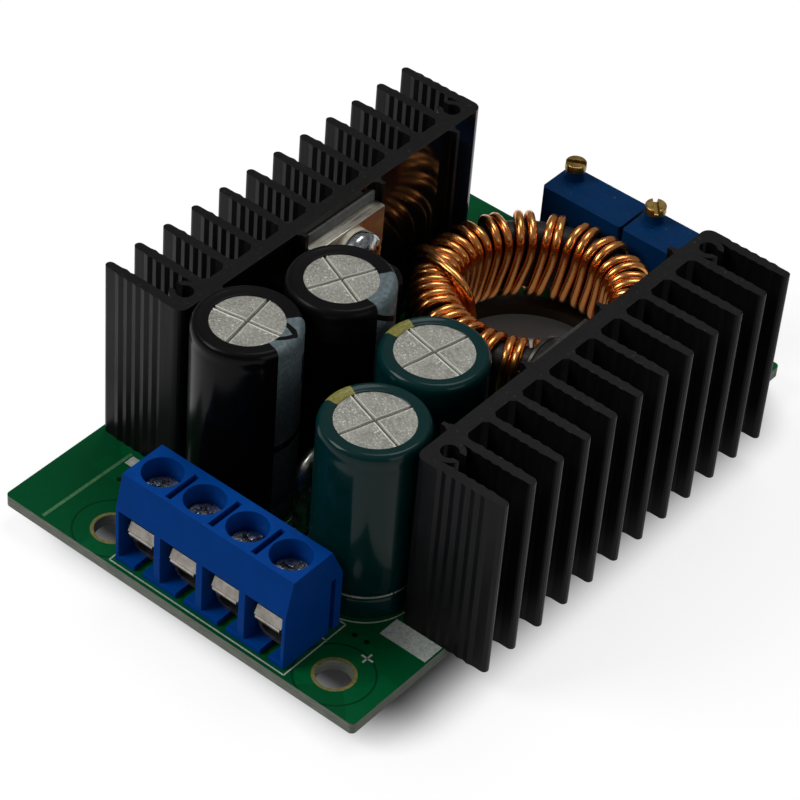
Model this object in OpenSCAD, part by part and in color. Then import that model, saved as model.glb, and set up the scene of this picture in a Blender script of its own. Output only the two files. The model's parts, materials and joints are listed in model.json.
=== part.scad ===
// Step-down converter module: a circuit board that carries two finned heatsinks with the power
// devices screwed to them, four round capacitors, a wound ring inductor, a four-way terminal block,
// two multi-turn trimmers, a current shunt and a few small surface parts.
// Millimetres. The origin is the centre of the four mounting holes, on the board's underside.
// X runs along the terminal edge, Y runs away from it and Z is up.
// Places on the board are counted from its front left corner, and heights from its top face.

/* [Circuit board] */
// Width of the board, along its terminal edge
board_w = 41.8; // [41:0.1:46]
// Length of the board
board_l = 65; // [64.6:0.1:70]
// Thickness of the board
board_t = 1.2; // [0.8:0.1:2]
// Radius of the board's corners
board_corner_r = 0.5; // [0.1:0.1:2]
// Diameter of each mounting hole
mount_d = 3.4; // [2.5:0.1:3.8]
// From the board's left edge to the left mounting holes
mount_left = 10.2; // [9:0.1:10.6]
// From the board's right edge to the right mounting holes
mount_right = 5.1; // [4.5:0.1:5.4]
// From the board's front and back edges to the mounting holes
mount_edge = 3.5; // [3:0.1:4]
// Diameter of the cut-out under the inductor
cutout_d = 17.6; // [6:0.1:18]
// Radial room between a lead and its drilled hole
hole_room = 0.15; // [0.05:0.01:0.25]
// How far the cut leads stand out below the board
lead_stub = 1.8; // [1.4:0.1:2.4]
// How much further the heatsink pins stand out, as the module's feet
foot_extra = 0.1; // [0.05:0.05:0.5]

/* [Heatsinks] */
// Height of each heatsink
sink_h = 20; // [18:0.1:30]
// From the inner face to the fin tips
sink_d = 9.6; // [8:0.1:14]
// Thickness of the wall behind the fins
sink_base_t = 1.55; // [1.2:0.05:2.5]
// Number of fins
fin_count = 12; // [8:2:12]
// Distance from fin to fin
fin_pitch = 3.8; // [3.6:0.05:3.9]
// Thickness of a fin between its ribs
fin_t = 0.9; // [0.6:0.05:1.3]
// Height of the ribs on a fin's sides
rib_h = 0.12; // [0.05:0.01:0.3]
// Distance from rib to rib
rib_pitch = 1.05; // [0.8:0.05:1.5]
// From the inner face to the first rib
rib_start = 2.9; // [2.5:0.1:4]
// Slope at the root of each fin
root_chamfer = 0.45; // [0.1:0.05:0.6]
// Radius of the profile's corners at the inner face
sink_corner_r = 1; // [0.2:0.1:1.2]
// Diameter of the pin channels in the profile
channel_d = 1.7; // [1.2:0.05:1.8]
// Width of each channel's open slot
channel_gap = 0.9; // [0.5:0.05:1.2]
// Outer diameter of the channel's wall
channel_wall_d = 2.9; // [2.4:0.1:3.2]
// From the inner face to the channel's centre
channel_in = 1.85; // [1.6:0.05:2.2]
// Diameter of the locating nibs on the inner face
nib_d = 0.9; // [0.5:0.05:1]
// From the middle of the heatsink to the two inner nibs
nib_inner = 5.5; // [5.5:0.05:6]
// From the middle of the heatsink to the two outer nibs
nib_outer = 16.6; // [12:0.1:18]
// Front end of both heatsinks, from the board's front edge
sink_front = 12.4; // [11.5:0.1:13]
// Inner face of the left heatsink, from the board's left edge
left_sink_face = 10; // [9.7:0.05:10.1]
// Inner face of the right heatsink, from the board's left edge
right_sink_face = 36.7; // [36.6:0.05:37.5]
// Length of each steel pin inside its channel
pin_in = 8; // [4:0.5:14]

/* [Power devices] */
// Width of a device
device_w = 10; // [9.6:0.1:10.2]
// Thickness of the metal tab
tab_t = 1.3; // [1:0.05:1.5]
// Thickness of a device, tab and body together
device_t = 4.4; // [4:0.05:4.5]
// Height of the moulded body
body_h = 9.2; // [8.5:0.1:9.6]
// Height of the tab above the body
tab_h = 6.4; // [6:0.1:6.8]
// Bottom of the body, above the board
body_z = 2.5; // [1.5:0.1:3.5]
// Diameter of the tab's hole
tab_hole_d = 3.8; // [3.5:0.05:4]
// From the tab's top edge to its hole
tab_hole_top = 2.8; // [2.6:0.1:3.1]
// Thickness of the insulating pad behind the tab
pad_t = 0.25; // [0.15:0.05:0.4]
// Clear space between the pad and the nibs beside it
pad_room = 0.05; // [0.02:0.01:0.3]
// How far the pad stands up above the tab
pad_top = 1; // [0:0.1:1.4]
// From the tab's back face to the leads
lead_set = 2.5; // [2.2:0.1:2.8]
// Width of a device's lead
lead_w = 0.8; // [0.6:0.05:0.9]
// Thickness of a device's lead
lead_t = 0.5; // [0.4:0.05:0.6]
// Pitch of the regulator's five leads
five_pitch = 1.7; // [1.6:0.05:1.9]
// Pitch of the rectifier's three leads
three_pitch = 2.54; // [2.3:0.02:2.8]
// Diameter of the device screws
screw_d = 2.9; // [2.5:0.1:3]
// Diameter of the device screws' heads
screw_head_d = 5.5; // [5.3:0.1:6]
// Height of the device screws' heads
screw_head_h = 2.1; // [1.6:0.1:2.4]
// Length of the device screws under the head
screw_l = 6; // [5:0.5:8]
// Depth of the screw hole beyond the screw's end
screw_room = 0.2; // [0.1:0.05:0.5]
// Diameter of the insulating bush's flange
bush_d = 5.3; // [5:0.1:5.5]
// Thickness of the insulating bush's flange
bush_t = 0.6; // [0.4:0.05:1]

/* [Capacitors] */
// Diameter of each capacitor over its sleeve
cap_d = 10.2; // [9.6:0.05:10.2]
// Thickness of the shrunk sleeve
sleeve_t = 0.15; // [0.1:0.05:0.3]
// Height of the two input capacitors
input_cap_h = 21.4; // [18:0.1:24]
// Height of the two output capacitors
output_cap_h = 19.5; // [18:0.1:24]
// Radius of the bare disc on top of the input capacitors
input_disc_r = 3.45; // [3.2:0.05:4]
// Radius of the bare disc on top of the output capacitors
output_disc_r = 3.7; // [3.2:0.05:4]
// Height of the rolled groove above the board
groove_z = 2.6; // [1.8:0.1:3.5]
// Depth of the rolled groove
groove_depth = 0.45; // [0.2:0.05:0.7]
// Width of the scored cross in the top
score_w = 0.22; // [0.1:0.02:0.4]
// Depth of the scored cross
score_depth = 0.12; // [0.05:0.01:0.2]
// Distance between a capacitor's two leads
cap_lead_pitch = 5; // [3.5:0.1:5.5]
// Diameter of a capacitor's lead
cap_lead_d = 0.6; // [0.5:0.05:0.8]
// Centre of the front input capacitor, from the board's left edge
input_cap_x = 15.8; // [15.6:0.05:16]
// Centre of the front input capacitor, from the board's front edge
input_cap_y = 14.6; // [14.2:0.05:14.8]
// Direction from the front to the back input capacitor, in degrees
input_turn = 77.8; // [70:0.2:84]
// Clear space between the two input capacitors
input_gap = 0.2; // [0.05:0.05:0.3]
// Centre of the front output capacitor, from the board's left edge
output_cap_x = 31; // [30.6:0.05:31.4]
// Centre of the front output capacitor, from the board's front edge
output_cap_y = 14.1; // [13.8:0.05:14.4]
// Direction from the front to the back output capacitor, in degrees
output_turn = 100.6; // [98:0.2:104]
// Clear space between the two output capacitors
output_gap = 0.5; // [0.2:0.05:0.8]

/* [Inductor] */
// Centre of the ring, to the right of the middle between the heatsinks
ring_shift = 0.05; // [-0.15:0.05:0.15]
// Clear space between the winding and the trimmers behind it
ring_gap = 0.2; // [0.1:0.05:0.5]
// Outer radius of the core
core_outer_r = 11.15; // [10:0.05:11.15]
// Inner radius of the core
core_inner_r = 8.05; // [7.9:0.05:8.8]
// Height of the core
core_h = 7.2; // [5:0.1:9]
// Radius of the core's edges
core_edge_r = 1.3; // [0.2:0.05:1.4]
// Diameter of the enamelled wire
wire_d = 0.92; // [0.6:0.02:0.92]
// Clear space between the core and the wire
wire_room = 0.04; // [0.02:0.01:0.1]
// Bottom of the winding, above the board
ring_z = 1.4; // [0.8:0.1:2]
// Number of double turns
turns = 21; // [8:1:21]
// Part of the ring that the turns fill, in degrees
wound_angle = 346; // [340:1:350]
// Clear space between the two strands of a turn
strand_gap = 0.05; // [0.02:0.01:0.06]
// Direction in which the ends of the winding leave, in degrees
wire_end_angle = 236; // [225:1:245]

/* [Terminal block] */
// Distance from pole to pole
pole_pitch = 5; // [5:0.01:5.08]
// Left end of the block, from the board's left edge
block_x = 13.1; // [12.8:0.1:13.2]
// Front of the block, from the board's front edge
block_y = 0.8; // [0.3:0.05:0.9]
// Depth of the block
block_d = 7.6; // [7.4:0.1:7.7]
// Height of the block
block_h = 10; // [9.8:0.1:12]
// Height of the front's crest, over the wire entries
crest_z = 6.2; // [6:0.05:6.6]
// Lean of the front above the crest
front_lean = 0.9; // [0.3:0.05:1.1]
// Height of the back face
back_z = 6.6; // [5:0.1:8]
// Width of the sloping back
back_slope = 1.6; // [0.5:0.1:1.8]
// Thickness of the walls between the wire entries
entry_wall = 0.75; // [0.6:0.05:0.9]
// Thickness of the block's floor
floor_t = 0.6; // [0.4:0.05:0.7]
// Width of the gap in the floor of an entry
floor_gap = 1; // [0.6:0.05:1.2]
// How far the wire entries reach back
entry_depth = 6.4; // [6.3:0.05:6.5]
// Diameter of the screw wells
well_d = 3.9; // [3.8:0.05:4.1]
// Centre of the screws, from the block's front
well_y = 3.4; // [3.35:0.05:3.5]
// Width of the slots between the wells
slot_w = 0.6; // [0.3:0.05:0.8]
// Length of the slots between the wells
slot_l = 3.9; // [3:0.1:4.2]
// Depth of the slots between the wells
slot_depth = 1.6; // [0.5:0.1:2]
// Depth of the joining groove in the block's right end
groove_w = 0.5; // [0.3:0.05:0.6]
// Width of the clamping cage
cage_w = 3.9; // [3.7:0.05:3.95]
// Depth of the clamping cage
cage_d = 4; // [3.8:0.1:4.4]
// Thickness of the cage's plates
cage_t = 0.45; // [0.3:0.05:0.5]
// Radius of the cage's two lower bends, outside
cage_bend_r = 1.2; // [0.6:0.05:1.2]
// Thickness of the threaded plate at the top of the cage
cage_top_t = 0.6; // [0.5:0.05:0.7]
// Top of the cage, above the board
cage_top = 5.6; // [5.5:0.05:5.7]
// Diameter of the terminal pins
pole_pin_d = 1; // [0.8:0.05:1.2]
// Diameter of the clamping screws
clamp_screw_d = 2.4; // [2:0.05:2.5]
// Room round a clamping screw in its threaded plate
thread_room = 0.05; // [0.02:0.01:0.08]
// Diameter of the clamping screws' heads
clamp_head_d = 3.6; // [3.4:0.05:3.6]
// Height of the clamping screws' heads
clamp_head_h = 1.3; // [1:0.05:1.4]
// Travel of a clamping screw each way from where it stands
clamp_travel = 1; // [0.5:0.05:1]
// Bottom of the wire guard's belly, above the block's floor
guard_z = 2.1; // [1.9:0.05:2.3]
// Width of the wire guard
guard_w = 2.8; // [2.4:0.05:2.8]
// Thickness of the wire guard
guard_t = 0.35; // [0.25:0.05:0.4]
// Rise of the wire guard from its belly to the middle of its front fold
guard_rise = 0.85; // [0.6:0.05:1]
// Radius of the wire guard's front fold, along the middle of the strip
guard_fold_r = 0.35; // [0.25:0.05:0.45]
// Slope of the wire guard from its fold down to its belly, in degrees
guard_slope = 20; // [15:1:30]
// Height of the wire guard's front lip, along its slant
guard_lip_h = 1; // [0.6:0.05:1.2]
// Lean of the lip, in degrees
guard_lip_lean = 27; // [10:1:35]
// Width of the wire guard's front lip
guard_lip_w = 3.1; // [2.9:0.05:3.3]

/* [Trimmers] */
// Length of a trimmer's case
trimmer_l = 9.5; // [9:0.05:9.55]
// Width of a trimmer's case
trimmer_w = 4.8; // [4.4:0.05:4.85]
// Height of a trimmer's case
trimmer_h = 10.3; // [9:0.1:12]
// Height of the small feet under a trimmer
trimmer_foot = 0.3; // [0.1:0.05:0.6]
// Left end of the first trimmer, from the board's left edge
trimmer_x = 14.8; // [14.6:0.1:15]
// Clear space between the two trimmers
trimmer_gap = 0.3; // [0.1:0.05:0.5]
// Clear space between the trimmers and the board's back edge
trimmer_back = 0.1; // [0:0.05:0.15]
// Diameter of the adjusting screws' heads
adjuster_d = 2.15; // [1.9:0.05:2.3]
// Height of the adjusting screws' heads
adjuster_h = 0.9; // [0.6:0.05:1.2]
// Diameter of the adjusting screws' shafts
adjuster_shaft_d = 1.3; // [1:0.05:1.4]
// Depth of an adjusting screw's shaft inside its case
adjuster_in = 2.4; // [1:0.1:4]
// Room round and under an adjusting screw in its case
adjuster_room = 0.04; // [0.02:0.01:0.08]
// Height of the collar under an adjusting screw's head
collar_h = 0.95; // [0.4:0.05:1.2]
// Diameter of the collar under an adjusting screw's head
collar_d = 1.95; // [1.8:0.05:2.2]
// From the case's left end and back to the adjusting screw
adjuster_set = 1.4; // [1.35:0.05:1.6]
// Diameter of a trimmer's pins
trimmer_pin_d = 0.5; // [0.4:0.05:0.6]
// Pitch of a trimmer's pins
trimmer_pin_pitch = 2.54; // [2.4:0.02:2.6]

/* [Shunt and small parts] */
// Diameter of the current shunt's wire
shunt_d = 1.5; // [1:0.05:1.6]
// Distance between the shunt's legs
shunt_pitch = 5.4; // [5:0.1:5.8]
// Height of the shunt
shunt_h = 9.6; // [7:0.1:12]
// Front leg of the shunt, from the board's left edge
shunt_x = 22.8; // [22.4:0.1:23.2]
// Front leg of the shunt, from the board's front edge
shunt_y = 14.9; // [14.6:0.1:15.2]
// Length of the amplifier chip's body
chip_l = 4.9; // [4.8:0.05:5]
// Width of the amplifier chip's body
chip_w = 3.9; // [3.8:0.05:4]
// Height of the chips' bodies, which lie lower than the winding
chip_h = 1.35; // [1.2:0.05:1.4]
// Reach of the amplifier chip's legs
chip_reach = 1.05; // [0.8:0.05:1.1]
// Length of the reference chip's body
reference_l = 4.5; // [4:0.1:4.6]
// Width of the reference chip's body
reference_w = 2.5; // [2.3:0.1:2.6]
// Reach of the reference chip's legs
reference_reach = 0.7; // [0.5:0.05:0.9]
// Clear space between the back capacitors and the chips behind them
chip_gap = 0.15; // [0.1:0.05:0.5]
// Length of the chip resistors and chip capacitors
small_l = 2; // [1.6:0.05:2.1]
// Width of the chip resistors and chip capacitors
small_w = 1.25; // [0.8:0.05:1.3]
// Height of the chip resistors
small_h = 0.55; // [0.4:0.05:0.7]
// Clear space between small parts in a row
small_gap = 0.35; // [0.2:0.05:0.45]
// Clear space between the right heatsink and the small parts behind it
behind_gap = 0.85; // [0.5:0.05:2]
// Clear space between the small parts and the board's right edge
edge_gap = 0.3; // [0.2:0.05:0.6]
// Height of the solder cones under the board
solder_h = 1.1; // [0.8:0.05:1.2]
// How far a solder cone spreads round its lead
solder_spread = 0.75; // [0.4:0.05:0.8]

/* [Hidden] */
$fn = 48;
eps = 0.01;

// Places and sizes that follow from the values above
mount_pitch_x = board_w - mount_left - mount_right;
mount_pitch_y = board_l - 2*mount_edge;
origin = [mount_left + mount_pitch_x/2, board_l/2];
stub_z = -board_t - lead_stub;
fin_full_t = fin_t + 2*rib_h;
sink_l = (fin_count - 1)*fin_pitch + fin_full_t;
sink_mid = sink_front + sink_l/2;
pin_d = channel_d - 0.02;
channel_y = fin_full_t/2 + fin_pitch/2;
device_top = body_z + body_h + tab_h;
tab_hole_z = device_top - tab_hole_top;
screw_seat = pad_t + tab_t + bush_t;
input_front = [input_cap_x, input_cap_y];
input_back = input_front + (cap_d + input_gap)*[cos(input_turn), sin(input_turn)];
output_front = [output_cap_x, output_cap_y];
output_back = output_front + (cap_d + output_gap)*[cos(output_turn), sin(output_turn)];
wire_r = wire_d/2;
wire_off = wire_r + wire_room;
bend_r = wire_off + core_edge_r;
path_outer_r = core_outer_r + wire_off;
path_inner_r = core_inner_r - wire_off;
trimmer_y = board_l - trimmer_back - trimmer_w;
ring_mid = [(left_sink_face + right_sink_face)/2 + ring_shift, trimmer_y - ring_gap - path_outer_r - wire_r];
path_bottom = ring_z + wire_r;
core_z = path_bottom + wire_off;
path_top = core_z + core_h + wire_off;
turn_angle = wound_angle/turns;
wire_start_angle = wire_end_angle + (360 - wound_angle)/2;
poles = [0:3];
block_l = 4*pole_pitch;
clamp_head_z = cage_top + clamp_travel + 0.1;
guard_belly_z = floor_t + guard_z;
shunt_bend_r = shunt_pitch/2;
function pole_x(i) = block_x + (i + 0.5)*pole_pitch;
function trimmer_left(i) = trimmer_x + i*(trimmer_l + trimmer_gap);

// Every lead that passes through the board, as place and radius
function cap_leads(c) = [for (s = [-1, 1]) [c.x, c.y + s*cap_lead_pitch/2, cap_lead_d/2]];
function left_lead_x() = left_sink_face + pad_t + lead_set;
function right_lead_x() = right_sink_face - pad_t - lead_set;
square_lead_r = norm([lead_w, lead_t])/2;
regulator_holes = [for (k = [-2:2]) [left_lead_x(), sink_mid + k*five_pitch, square_lead_r]];
rectifier_holes = [for (k = [-1:1]) [right_lead_x(), sink_mid + k*three_pitch, square_lead_r]];
// Direction of a strand's middle where it is at radius r, after n turns
function strand_turn(s, n, r) = wire_start_angle + n*turn_angle
    + (s - 0.5)*(wire_d + strand_gap)/r*180/PI;
function strand_end(s, n) = let(a = strand_turn(s, n, path_outer_r)) path_outer_r*[cos(a), sin(a)];
inductor_holes = [for (s = [0, 1], n = [0, turns]) let(p = ring_mid + strand_end(s, n)) [p.x, p.y, wire_r]];
pole_holes = [for (i = poles) [pole_x(i), block_y + well_y + 0.6, pole_pin_d/2]];
trimmer_holes = [for (i = [0, 1], k = [-1:1])
    [trimmer_left(i) + trimmer_l/2 + k*trimmer_pin_pitch, trimmer_y + trimmer_w/2, trimmer_pin_d/2]];
shunt_holes = [[shunt_x, shunt_y, shunt_d/2], [shunt_x, shunt_y + shunt_pitch, shunt_d/2]];
pin_holes = [for (x = [left_sink_face - channel_in, right_sink_face + channel_in], s = [-1, 1])
    [x, sink_mid + s*(sink_l/2 - channel_y), pin_d/2]];
lead_holes = concat(cap_leads(input_front), cap_leads(input_back), cap_leads(output_front),
    cap_leads(output_back), regulator_holes, rectifier_holes, inductor_holes, pole_holes,
    trimmer_holes, shunt_holes, pin_holes);

// Moves from the origin to a place on the board's top face
module place(p, z = 0) {
    translate([p.x - origin.x, p.y - origin.y, board_t + z]) children();
}

module disc(r, h) {
    cylinder(r = r, h = h);
}

// Plate with round corners, from its lower left corner
module rounded_plate(size, r, h) {
    linear_extrude(h) {
        translate([r, 0]) square([size.x - 2*r, size.y]);
        translate([0, r]) square([size.x, size.y - 2*r]);
        for (x = [r, size.x - r], y = [r, size.y - r]) translate([x, y]) circle(r);
    }
}

module circuit_board() {
    color("darkgreen") difference() {
        place([0, 0], -board_t) rounded_plate([board_w, board_l], board_corner_r, board_t);
        for (x = [-1, 1], y = [-1, 1])
            translate([x*mount_pitch_x/2, y*mount_pitch_y/2, -1]) disc(mount_d/2, board_t + 2);
        place(ring_mid, -board_t - 1) disc(cutout_d/2, board_t + 2);
        for (h = lead_holes)
            place([h.x, h.y], -board_t - 1) disc(h[2] + hole_room, board_t + 2);
    }
}

// Ribs along a fin's side, as steps from a valley over a crest and back
rib_count = floor((sink_d - rib_start - fin_t)/rib_pitch);
rib_steps = 4;
function rib_rise(k) = fin_full_t/2 - rib_h + rib_h*(1 - cos(k*360/rib_steps))/2;
function fin_side(c, s) = [for (k = [0:rib_count*rib_steps])
    [c + s*rib_rise(k), rib_start + k*rib_pitch/rib_steps]];
function fin_tip(c) = [for (a = [0:30:180])
    [c + fin_t/2*cos(a), sink_d - fin_t/2 + fin_t/2*sin(a)]];
function fin_root(c, s) = [[c + s*(fin_t/2 + root_chamfer), sink_base_t],
    [c + s*fin_t/2, sink_base_t + root_chamfer]];
function turned(points) = [for (i = [len(points) - 1:-1:0]) points[i]];
function one_fin(i) = let(c = fin_full_t/2 + i*fin_pitch) concat(
    i == fin_count - 1 ? [[c + fin_full_t/2, rib_start - 0.4]] : fin_root(c, 1),
    fin_side(c, 1), fin_tip(c), turned(fin_side(c, -1)),
    i == 0 ? [[c - fin_full_t/2, rib_start - 0.4]] : turned(fin_root(c, -1)));
function sink_corner(x, a0) = [for (a = [a0:15:a0 + 90])
    [x + sink_corner_r*cos(a), sink_corner_r + sink_corner_r*sin(a)]];
sink_outline = concat(sink_corner(sink_corner_r, 180), sink_corner(sink_l - sink_corner_r, 270),
    [for (i = [fin_count - 1:-1:0]) each one_fin(i)]);

// Section of a heatsink: its length runs along X and its fins point along +Y
module sink_section() {
    difference() {
        union() {
            polygon(sink_outline);
            for (s = [-1, 1]) {
                translate([sink_l/2 + s*(sink_l/2 - channel_y), channel_in]) circle(d = channel_wall_d);
                for (n = [nib_inner, nib_outer]) translate([sink_l/2 + s*n, 0]) {
                    circle(d = nib_d);
                    translate([-nib_d/2, 0]) square([nib_d, sink_base_t/2]);
                    translate([-nib_d/4, -nib_d]) square([nib_d/2, nib_d]);
                }
            }
        }
        for (s = [-1, 1]) translate([sink_l/2 + s*(sink_l/2 - channel_y), channel_in]) {
            circle(d = channel_d);
            translate([-channel_gap/2, 0]) square([channel_gap, channel_wall_d]);
        }
    }
}

// A heatsink with its inner face on the plane X = 0 and its fins along +X, with the tapped hole
module heatsink() {
    difference() {
        rotate([0, 0, 90]) mirror([0, 1, 0]) linear_extrude(sink_h) sink_section();
        translate([-1, sink_l/2, tab_hole_z]) rotate([0, 90, 0])
            disc(screw_d/2, 1 + screw_l - screw_seat + screw_room);
    }
}

module left_heatsink() {
    color([0.06, 0.06, 0.07]) place([left_sink_face, sink_front]) mirror([1, 0, 0]) heatsink();
}

module right_heatsink() {
    color([0.06, 0.06, 0.07]) place([right_sink_face, sink_front]) heatsink();
}

module heatsink_pins() {
    pin_l = board_t + lead_stub + foot_extra + pin_in;
    color("silver") for (h = pin_holes)
        place([h.x, h.y], stub_z - foot_extra) disc(pin_d/2, pin_l);
}

// Draws a power device's piece with its back plane at X = 0 and its middle at Y = 0
module on_left_face() {
    place([left_sink_face, sink_mid]) children();
}

module on_right_face() {
    place([right_sink_face, sink_mid]) mirror([1, 0, 0]) children();
}

module cross_hole(r, x0, x1, z) {
    translate([x0, 0, z]) rotate([0, 90, 0]) disc(r, x1 - x0);
}

module pad() {
    pad_w = 2*(nib_inner - nib_d/2 - pad_room);
    color([0.55, 0.56, 0.56]) difference() {
        translate([0, -pad_w/2, body_z]) cube([pad_t, pad_w, device_top + pad_top - body_z]);
        cross_hole(tab_hole_d/2, -1, pad_t + 1, tab_hole_z);
    }
}

// The plate behind the body and the holed tab above it, with a notch in each side
module tab() {
    notch = 0.7;
    color([0.8, 0.8, 0.8]) difference() {
        translate([pad_t, -device_w/2, body_z + 0.3]) cube([tab_t, device_w, device_top - body_z - 0.3]);
        cross_hole(tab_hole_d/2, 0, pad_t + tab_t + 1, tab_hole_z);
        for (s = [-1, 1]) translate([pad_t - 1, s*device_w/2 - notch/2, body_z + body_h + 0.4])
            cube([tab_t + 2, notch, 1.4]);
    }
}

// The moulded body, with sloping top, bottom and front edges, and a dimple in its face
module device_body() {
    t = device_t - tab_t;
    slope = 0.25;
    dimple_r = 0.9;
    color([0.08, 0.08, 0.08]) translate([pad_t + tab_t, 0, body_z]) difference() {
        translate([0, device_w/2, 0]) rotate([90, 0, 0]) linear_extrude(device_w)
            polygon([[0, 0], [t - slope, 0], [t, slope*3], [t, body_h - 1.1], [t - 1, body_h], [0, body_h]]);
        for (s = [-1, 1]) translate([t, s*device_w/2, -1]) rotate([0, 0, 45])
            cube([0.5, 0.5, 2*body_h + 2], center = true);
        translate([t - 0.2, 0, body_h*0.66]) rotate([0, 90, 0]) disc(dimple_r, 1);
    }
}

// Leads that leave the body's underside and pass through the board
module device_leads(places) {
    shoulder = 1.2;
    color("silver") for (h = places) place([h.x, h.y]) {
        translate([-lead_t/2, -lead_w/2, stub_z]) cube([lead_t, lead_w, body_z - stub_z]);
        translate([-lead_t/2, -shoulder/2, body_z - 1]) cube([lead_t, shoulder, 1]);
    }
}

// Stepped insulating bush in the tab's hole, under the screw's head
module bush() {
    color([0.75, 0.74, 0.7]) difference() {
        union() {
            translate([pad_t + tab_t, 0, tab_hole_z]) rotate([0, 90, 0]) disc(bush_d/2, bush_t);
            cross_hole(tab_hole_d/2, 0, pad_t + tab_t + eps, tab_hole_z);
        }
        cross_hole(screw_d/2, -1, pad_t + tab_t + bush_t + 1, tab_hole_z);
    }
}

// Domed head with a cross recess, and a shank into the heatsink
module device_screw() {
    dome = [for (a = [0:15:90]) [screw_head_d/2*cos(a), screw_head_h*(0.35 + 0.65*sin(a))]];
    color([0.85, 0.85, 0.87]) difference() {
        translate([screw_seat, 0, tab_hole_z]) rotate([0, 90, 0]) {
            rotate_extrude() polygon(concat([[0, 0], [screw_head_d/2, 0]], dome));
            translate([0, 0, -screw_l]) disc(screw_d/2, screw_l + eps);
        }
        for (a = [0, 90]) translate([screw_seat + screw_head_h, 0, tab_hole_z]) rotate([a, 0, 0])
            cube([2*1.1, 0.5, 2.6], center = true);
    }
}

module left_pad() { on_left_face() pad(); }
module right_pad() { on_right_face() pad(); }
module regulator_tab() { on_left_face() tab(); }
module regulator_body() { on_left_face() device_body(); }
module regulator_leads() { device_leads(regulator_holes); }
module regulator_bush() { on_left_face() bush(); }
module regulator_screw() { on_left_face() device_screw(); }
module rectifier_tab() { on_right_face() tab(); }
module rectifier_body() { on_right_face() device_body(); }
module rectifier_leads() { device_leads(rectifier_holes); }
module rectifier_bush() { on_right_face() bush(); }
module rectifier_screw() { on_right_face() device_screw(); }

// Outside of an aluminium can, from the middle of its base to the middle of its top
can_r = cap_d/2 - sleeve_t;
bung_h = 1.4;
rim_r = 0.5;
function can_side(h, r, top) = concat(
    [[r - 0.35, 0], [r, 0.35], [r, groove_z - groove_depth*1.4], [r - groove_depth, groove_z - 0.15],
        [r - groove_depth, groove_z + 0.15], [r, groove_z + groove_depth*1.4]],
    [for (a = [0:15:90]) [r - rim_r + rim_r*cos(a), top - rim_r + rim_r*sin(a)]]);

module can(h, disc_r, turn) {
    top = h - sleeve_t;
    color([0.8, 0.8, 0.8]) difference() {
        rotate_extrude() difference() {
            polygon(concat([[0, 0]], can_side(h, can_r, top), [[0, top]]));
            translate([-1, -1]) square([can_r - groove_depth - 0.15 + 1, bung_h + 1]);
            translate([0, top - 0.3]) square([disc_r, 1]);
        }
        for (a = [0, 90]) rotate([0, 0, turn + a]) translate([0, 0, top - 0.3])
            cube([2*disc_r - 0.3, score_w, 2*score_depth], center = true);
    }
}

// Shrunk tube round a can, rolled over its top edge and under its base
module sleeve(h, disc_r, tint) {
    color(tint) rotate_extrude() difference() {
        polygon(concat(can_side(h, cap_d/2, h), [[disc_r - 0.05, h], [disc_r - 0.05, 0]]));
        polygon(concat([[0, 0]], can_side(h, can_r, h - sleeve_t), [[0, h - sleeve_t]]));
    }
}

module bung() {
    color([0.1, 0.1, 0.1]) difference() {
        disc(can_r - groove_depth - 0.15, bung_h);
        for (s = [-1, 1]) translate([0, s*cap_lead_pitch/2, -1]) disc(cap_lead_d/2, bung_h + 2);
    }
}

module cap_leads_of(c) {
    color("silver") for (h = cap_leads(c))
        place([h.x, h.y], stub_z) disc(cap_lead_d/2, bung_h - stub_z);
}

// Directions of the scored crosses: input front and back, output front and back
score_turns = [10, -23, -18, -12];
black_tint = [0.09, 0.09, 0.1];
green_tint = [0.03, 0.2, 0.19];
module input_can_front() { place(input_front) can(input_cap_h, input_disc_r, score_turns[0]); }
module input_sleeve_front() { place(input_front) sleeve(input_cap_h, input_disc_r, black_tint); }
module input_bung_front() { place(input_front) bung(); }
module input_leads_front() { cap_leads_of(input_front); }
module input_can_back() { place(input_back) can(input_cap_h, input_disc_r, score_turns[1]); }
module input_sleeve_back() { place(input_back) sleeve(input_cap_h, input_disc_r, black_tint); }
module input_bung_back() { place(input_back) bung(); }
module input_leads_back() { cap_leads_of(input_back); }
module output_can_front() { place(output_front) can(output_cap_h, output_disc_r, score_turns[2]); }
module output_sleeve_front() { place(output_front) sleeve(output_cap_h, output_disc_r, green_tint); }
module output_bung_front() { place(output_front) bung(); }
module output_leads_front() { cap_leads_of(output_front); }
module output_can_back() { place(output_back) can(output_cap_h, output_disc_r, score_turns[3]); }
module output_sleeve_back() { place(output_back) sleeve(output_cap_h, output_disc_r, green_tint); }
module output_bung_back() { place(output_back) bung(); }
module output_leads_back() { cap_leads_of(output_back); }

module inductor_core() {
    w = core_outer_r - core_inner_r;
    color([0.16, 0.17, 0.17]) place(ring_mid, core_z) rotate_extrude() translate([core_inner_r, 0]) {
        translate([core_edge_r, 0]) square([w - 2*core_edge_r, core_h]);
        translate([0, core_edge_r]) square([w, core_h - 2*core_edge_r]);
        for (x = [core_edge_r, w - core_edge_r], z = [core_edge_r, core_h - core_edge_r])
            translate([x, z]) circle(core_edge_r);
    }
}

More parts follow.
